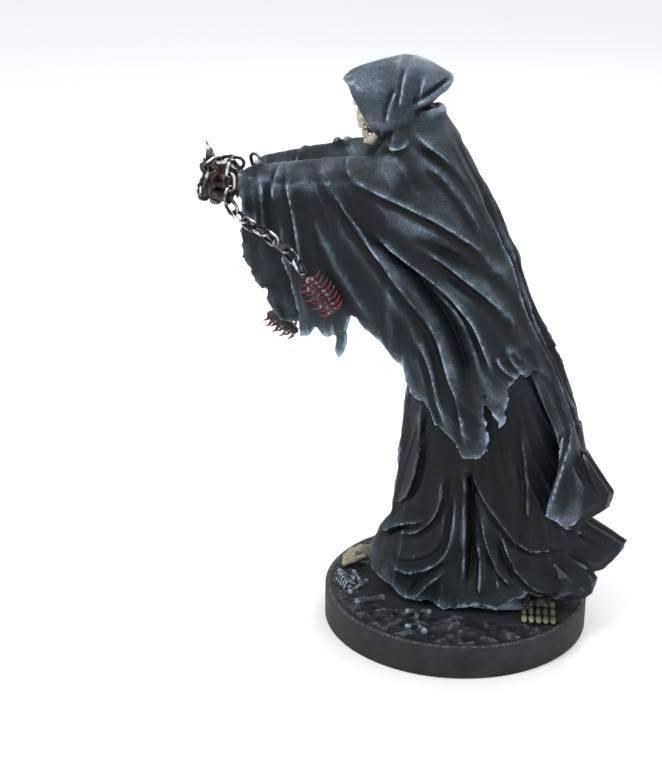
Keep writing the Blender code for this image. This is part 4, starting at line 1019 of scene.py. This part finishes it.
foot, head, tip = [in_metres(p) for p in (HANDLE_FOOT, HANDLE_HEAD, HANDLE_TIP)]
run = (head - foot).normalized()
side = run.cross(Vector((0.31, 0.17, 0.93))).normalized()
beside = run.cross(side)
stations = [(-0.03, 0.5), (0.0, 0.9), (0.03, 1.15), (0.06, 1.25), (0.10, 1.12), (0.14, 0.9)]
stations += [(0.2 + 0.09 * i + d, 0.9 - cut) for i in range(8) for d, cut in ((0.0, 0.0), (0.03, 0.08))]
stations += [(0.93, 0.9), (0.96, 1.2), (1.0, 1.15), (1.04, 0.95), (1.12, 0.80), (1.25, 0.55)]
points, around = [], 20
for share, swell in stations:
    for k in range(around):
        t = 2 * math.pi * k / around
        ray = math.cos(t) * side + math.sin(t) * beside
        points.append(foot.lerp(head, share) + HANDLE_DIAMETER / 2 * swell * ray)
faces = rings(around, len(stations))
points += [foot.lerp(head, -0.04), tip]
last = (len(stations) - 1) * around
for k in range(around):
    j = (k + 1) % around
    faces += [(len(points) - 2, j, k), (len(points) - 1, last + k, last + j)]
handle_paint = silver_finish("handle_paint", (0.30, 0.52))
bare_piece("handle", points, faces, handle_paint, "flail_handle")

blood = Finish("stained_paint")
patches, speck = blood.noise(350.0, 3.0), blood.noise(1500.0, 2.0)
out_along = blood.attribute("reach")
grime = (blood.attribute("crest").ramp(0.17, 0.08) * 0.9 + patches.ramp(0.40, 0.58) * 0.7).held()
metal = blood.mix(grime * 0.97, (0.42, 0.40, 0.41), (0.010, 0.008, 0.009))
red = (out_along.ramp(0.05, 0.50) * patches.ramp(0.36, 0.56) + speck.ramp(0.58, 0.7) * 0.2).held()
colour = blood.mix(red * 0.9, metal, (0.20, 0.014, 0.022))
stained_paint = blood.done(colour, 0.34 + grime * 0.3, speck, 0.00005, metallic=0.25)


def girth(share):
    """Half thickness of a head's spindle along its length."""
    return HEAD_CORE / 2 * math.sin(math.pi * (0.16 + 0.68 * share))


def clawed_head(name, ends, bare, node):
    """Ribbed spindle with rows of hooked claws, none on the side against the cloth."""
    low, high = in_metres(ends[0]), in_metres(ends[1])
    run = (high - low).normalized()
    side = run.cross(Vector((0.9, 0.3, 0.2))).normalized()
    up = side.cross(run)
    points, faces, reach = [], [], []

    def tube(spine, widths, first_axis, second_axis, around, share):
        """Round skin along a line of places, closed at both ends."""
        start = len(points)
        for place, width, here in zip(spine, widths, share):
            for k in range(around):
                t = 2 * math.pi * k / around
                points.append(place + width * (math.cos(t) * first_axis + math.sin(t) * second_axis))
                reach.append(here)
        faces.extend(rings(around, len(spine), start))
        faces.append(tuple(start + k for k in reversed(range(around))))
        faces.append(tuple(len(points) - around + k for k in range(around)))

    shares = [i / 40 for i in range(41)]
    swell = [girth(s) * (0.93 + 0.07 * math.cos(2 * math.pi * HEAD_ROWS * s)) for s in shares]
    core = [low.lerp(high, 0.04 + 0.92 * s) for s in shares]
    tube([low] + core + [high], [0.0002] + swell + [0.0002], side, up, 28, [0.0] * 43)
    for row in range(HEAD_ROWS):
        for column in range(HEAD_SIDES):
            t = 2 * math.pi * (column + 1) / HEAD_SIDES
            out = math.cos(t) * side + math.sin(t) * up
            shown = max(0.0, out.dot(Vector((0.2, 0.6, 0.75))))
            if out.dot(Vector(bare)) > 0.35 or ((row + column) % 2 and shown < 0.45):
                continue
            share = (row + 0.5) / HEAD_ROWS
            width = girth(share)
            steps = [i / 7 for i in range(8)]
            seat = low.lerp(high, 0.04 + 0.92 * share) + out * width * 0.8
            length = CLAW_LENGTH * (1.0 + 0.75 * shown)
            bends = [run * CLAW_BEND * (0.6 - u) * u * 2 for u in steps]
            claw = [seat + out * (length + 0.12 * width) * u + bend for u, bend in zip(steps, bends)]
            widths = [CLAW_THICKNESS * (1 - u) ** 0.75 + 0.00005 for u in steps]
            tube(claw, widths, run, run.cross(out), 8, steps)
    item = bare_piece(name, points, faces, stained_paint, node)
    item.data.attributes.new("reach", 'FLOAT', 'POINT').data.foreach_set("value", reach)
    return item


clawed_head("head_near", NEAR_HEAD, (-1, 0, 0), "flail_head_near")
clawed_head("head_far", FAR_HEAD, (0.3, 0, 0.95), "flail_head_far")
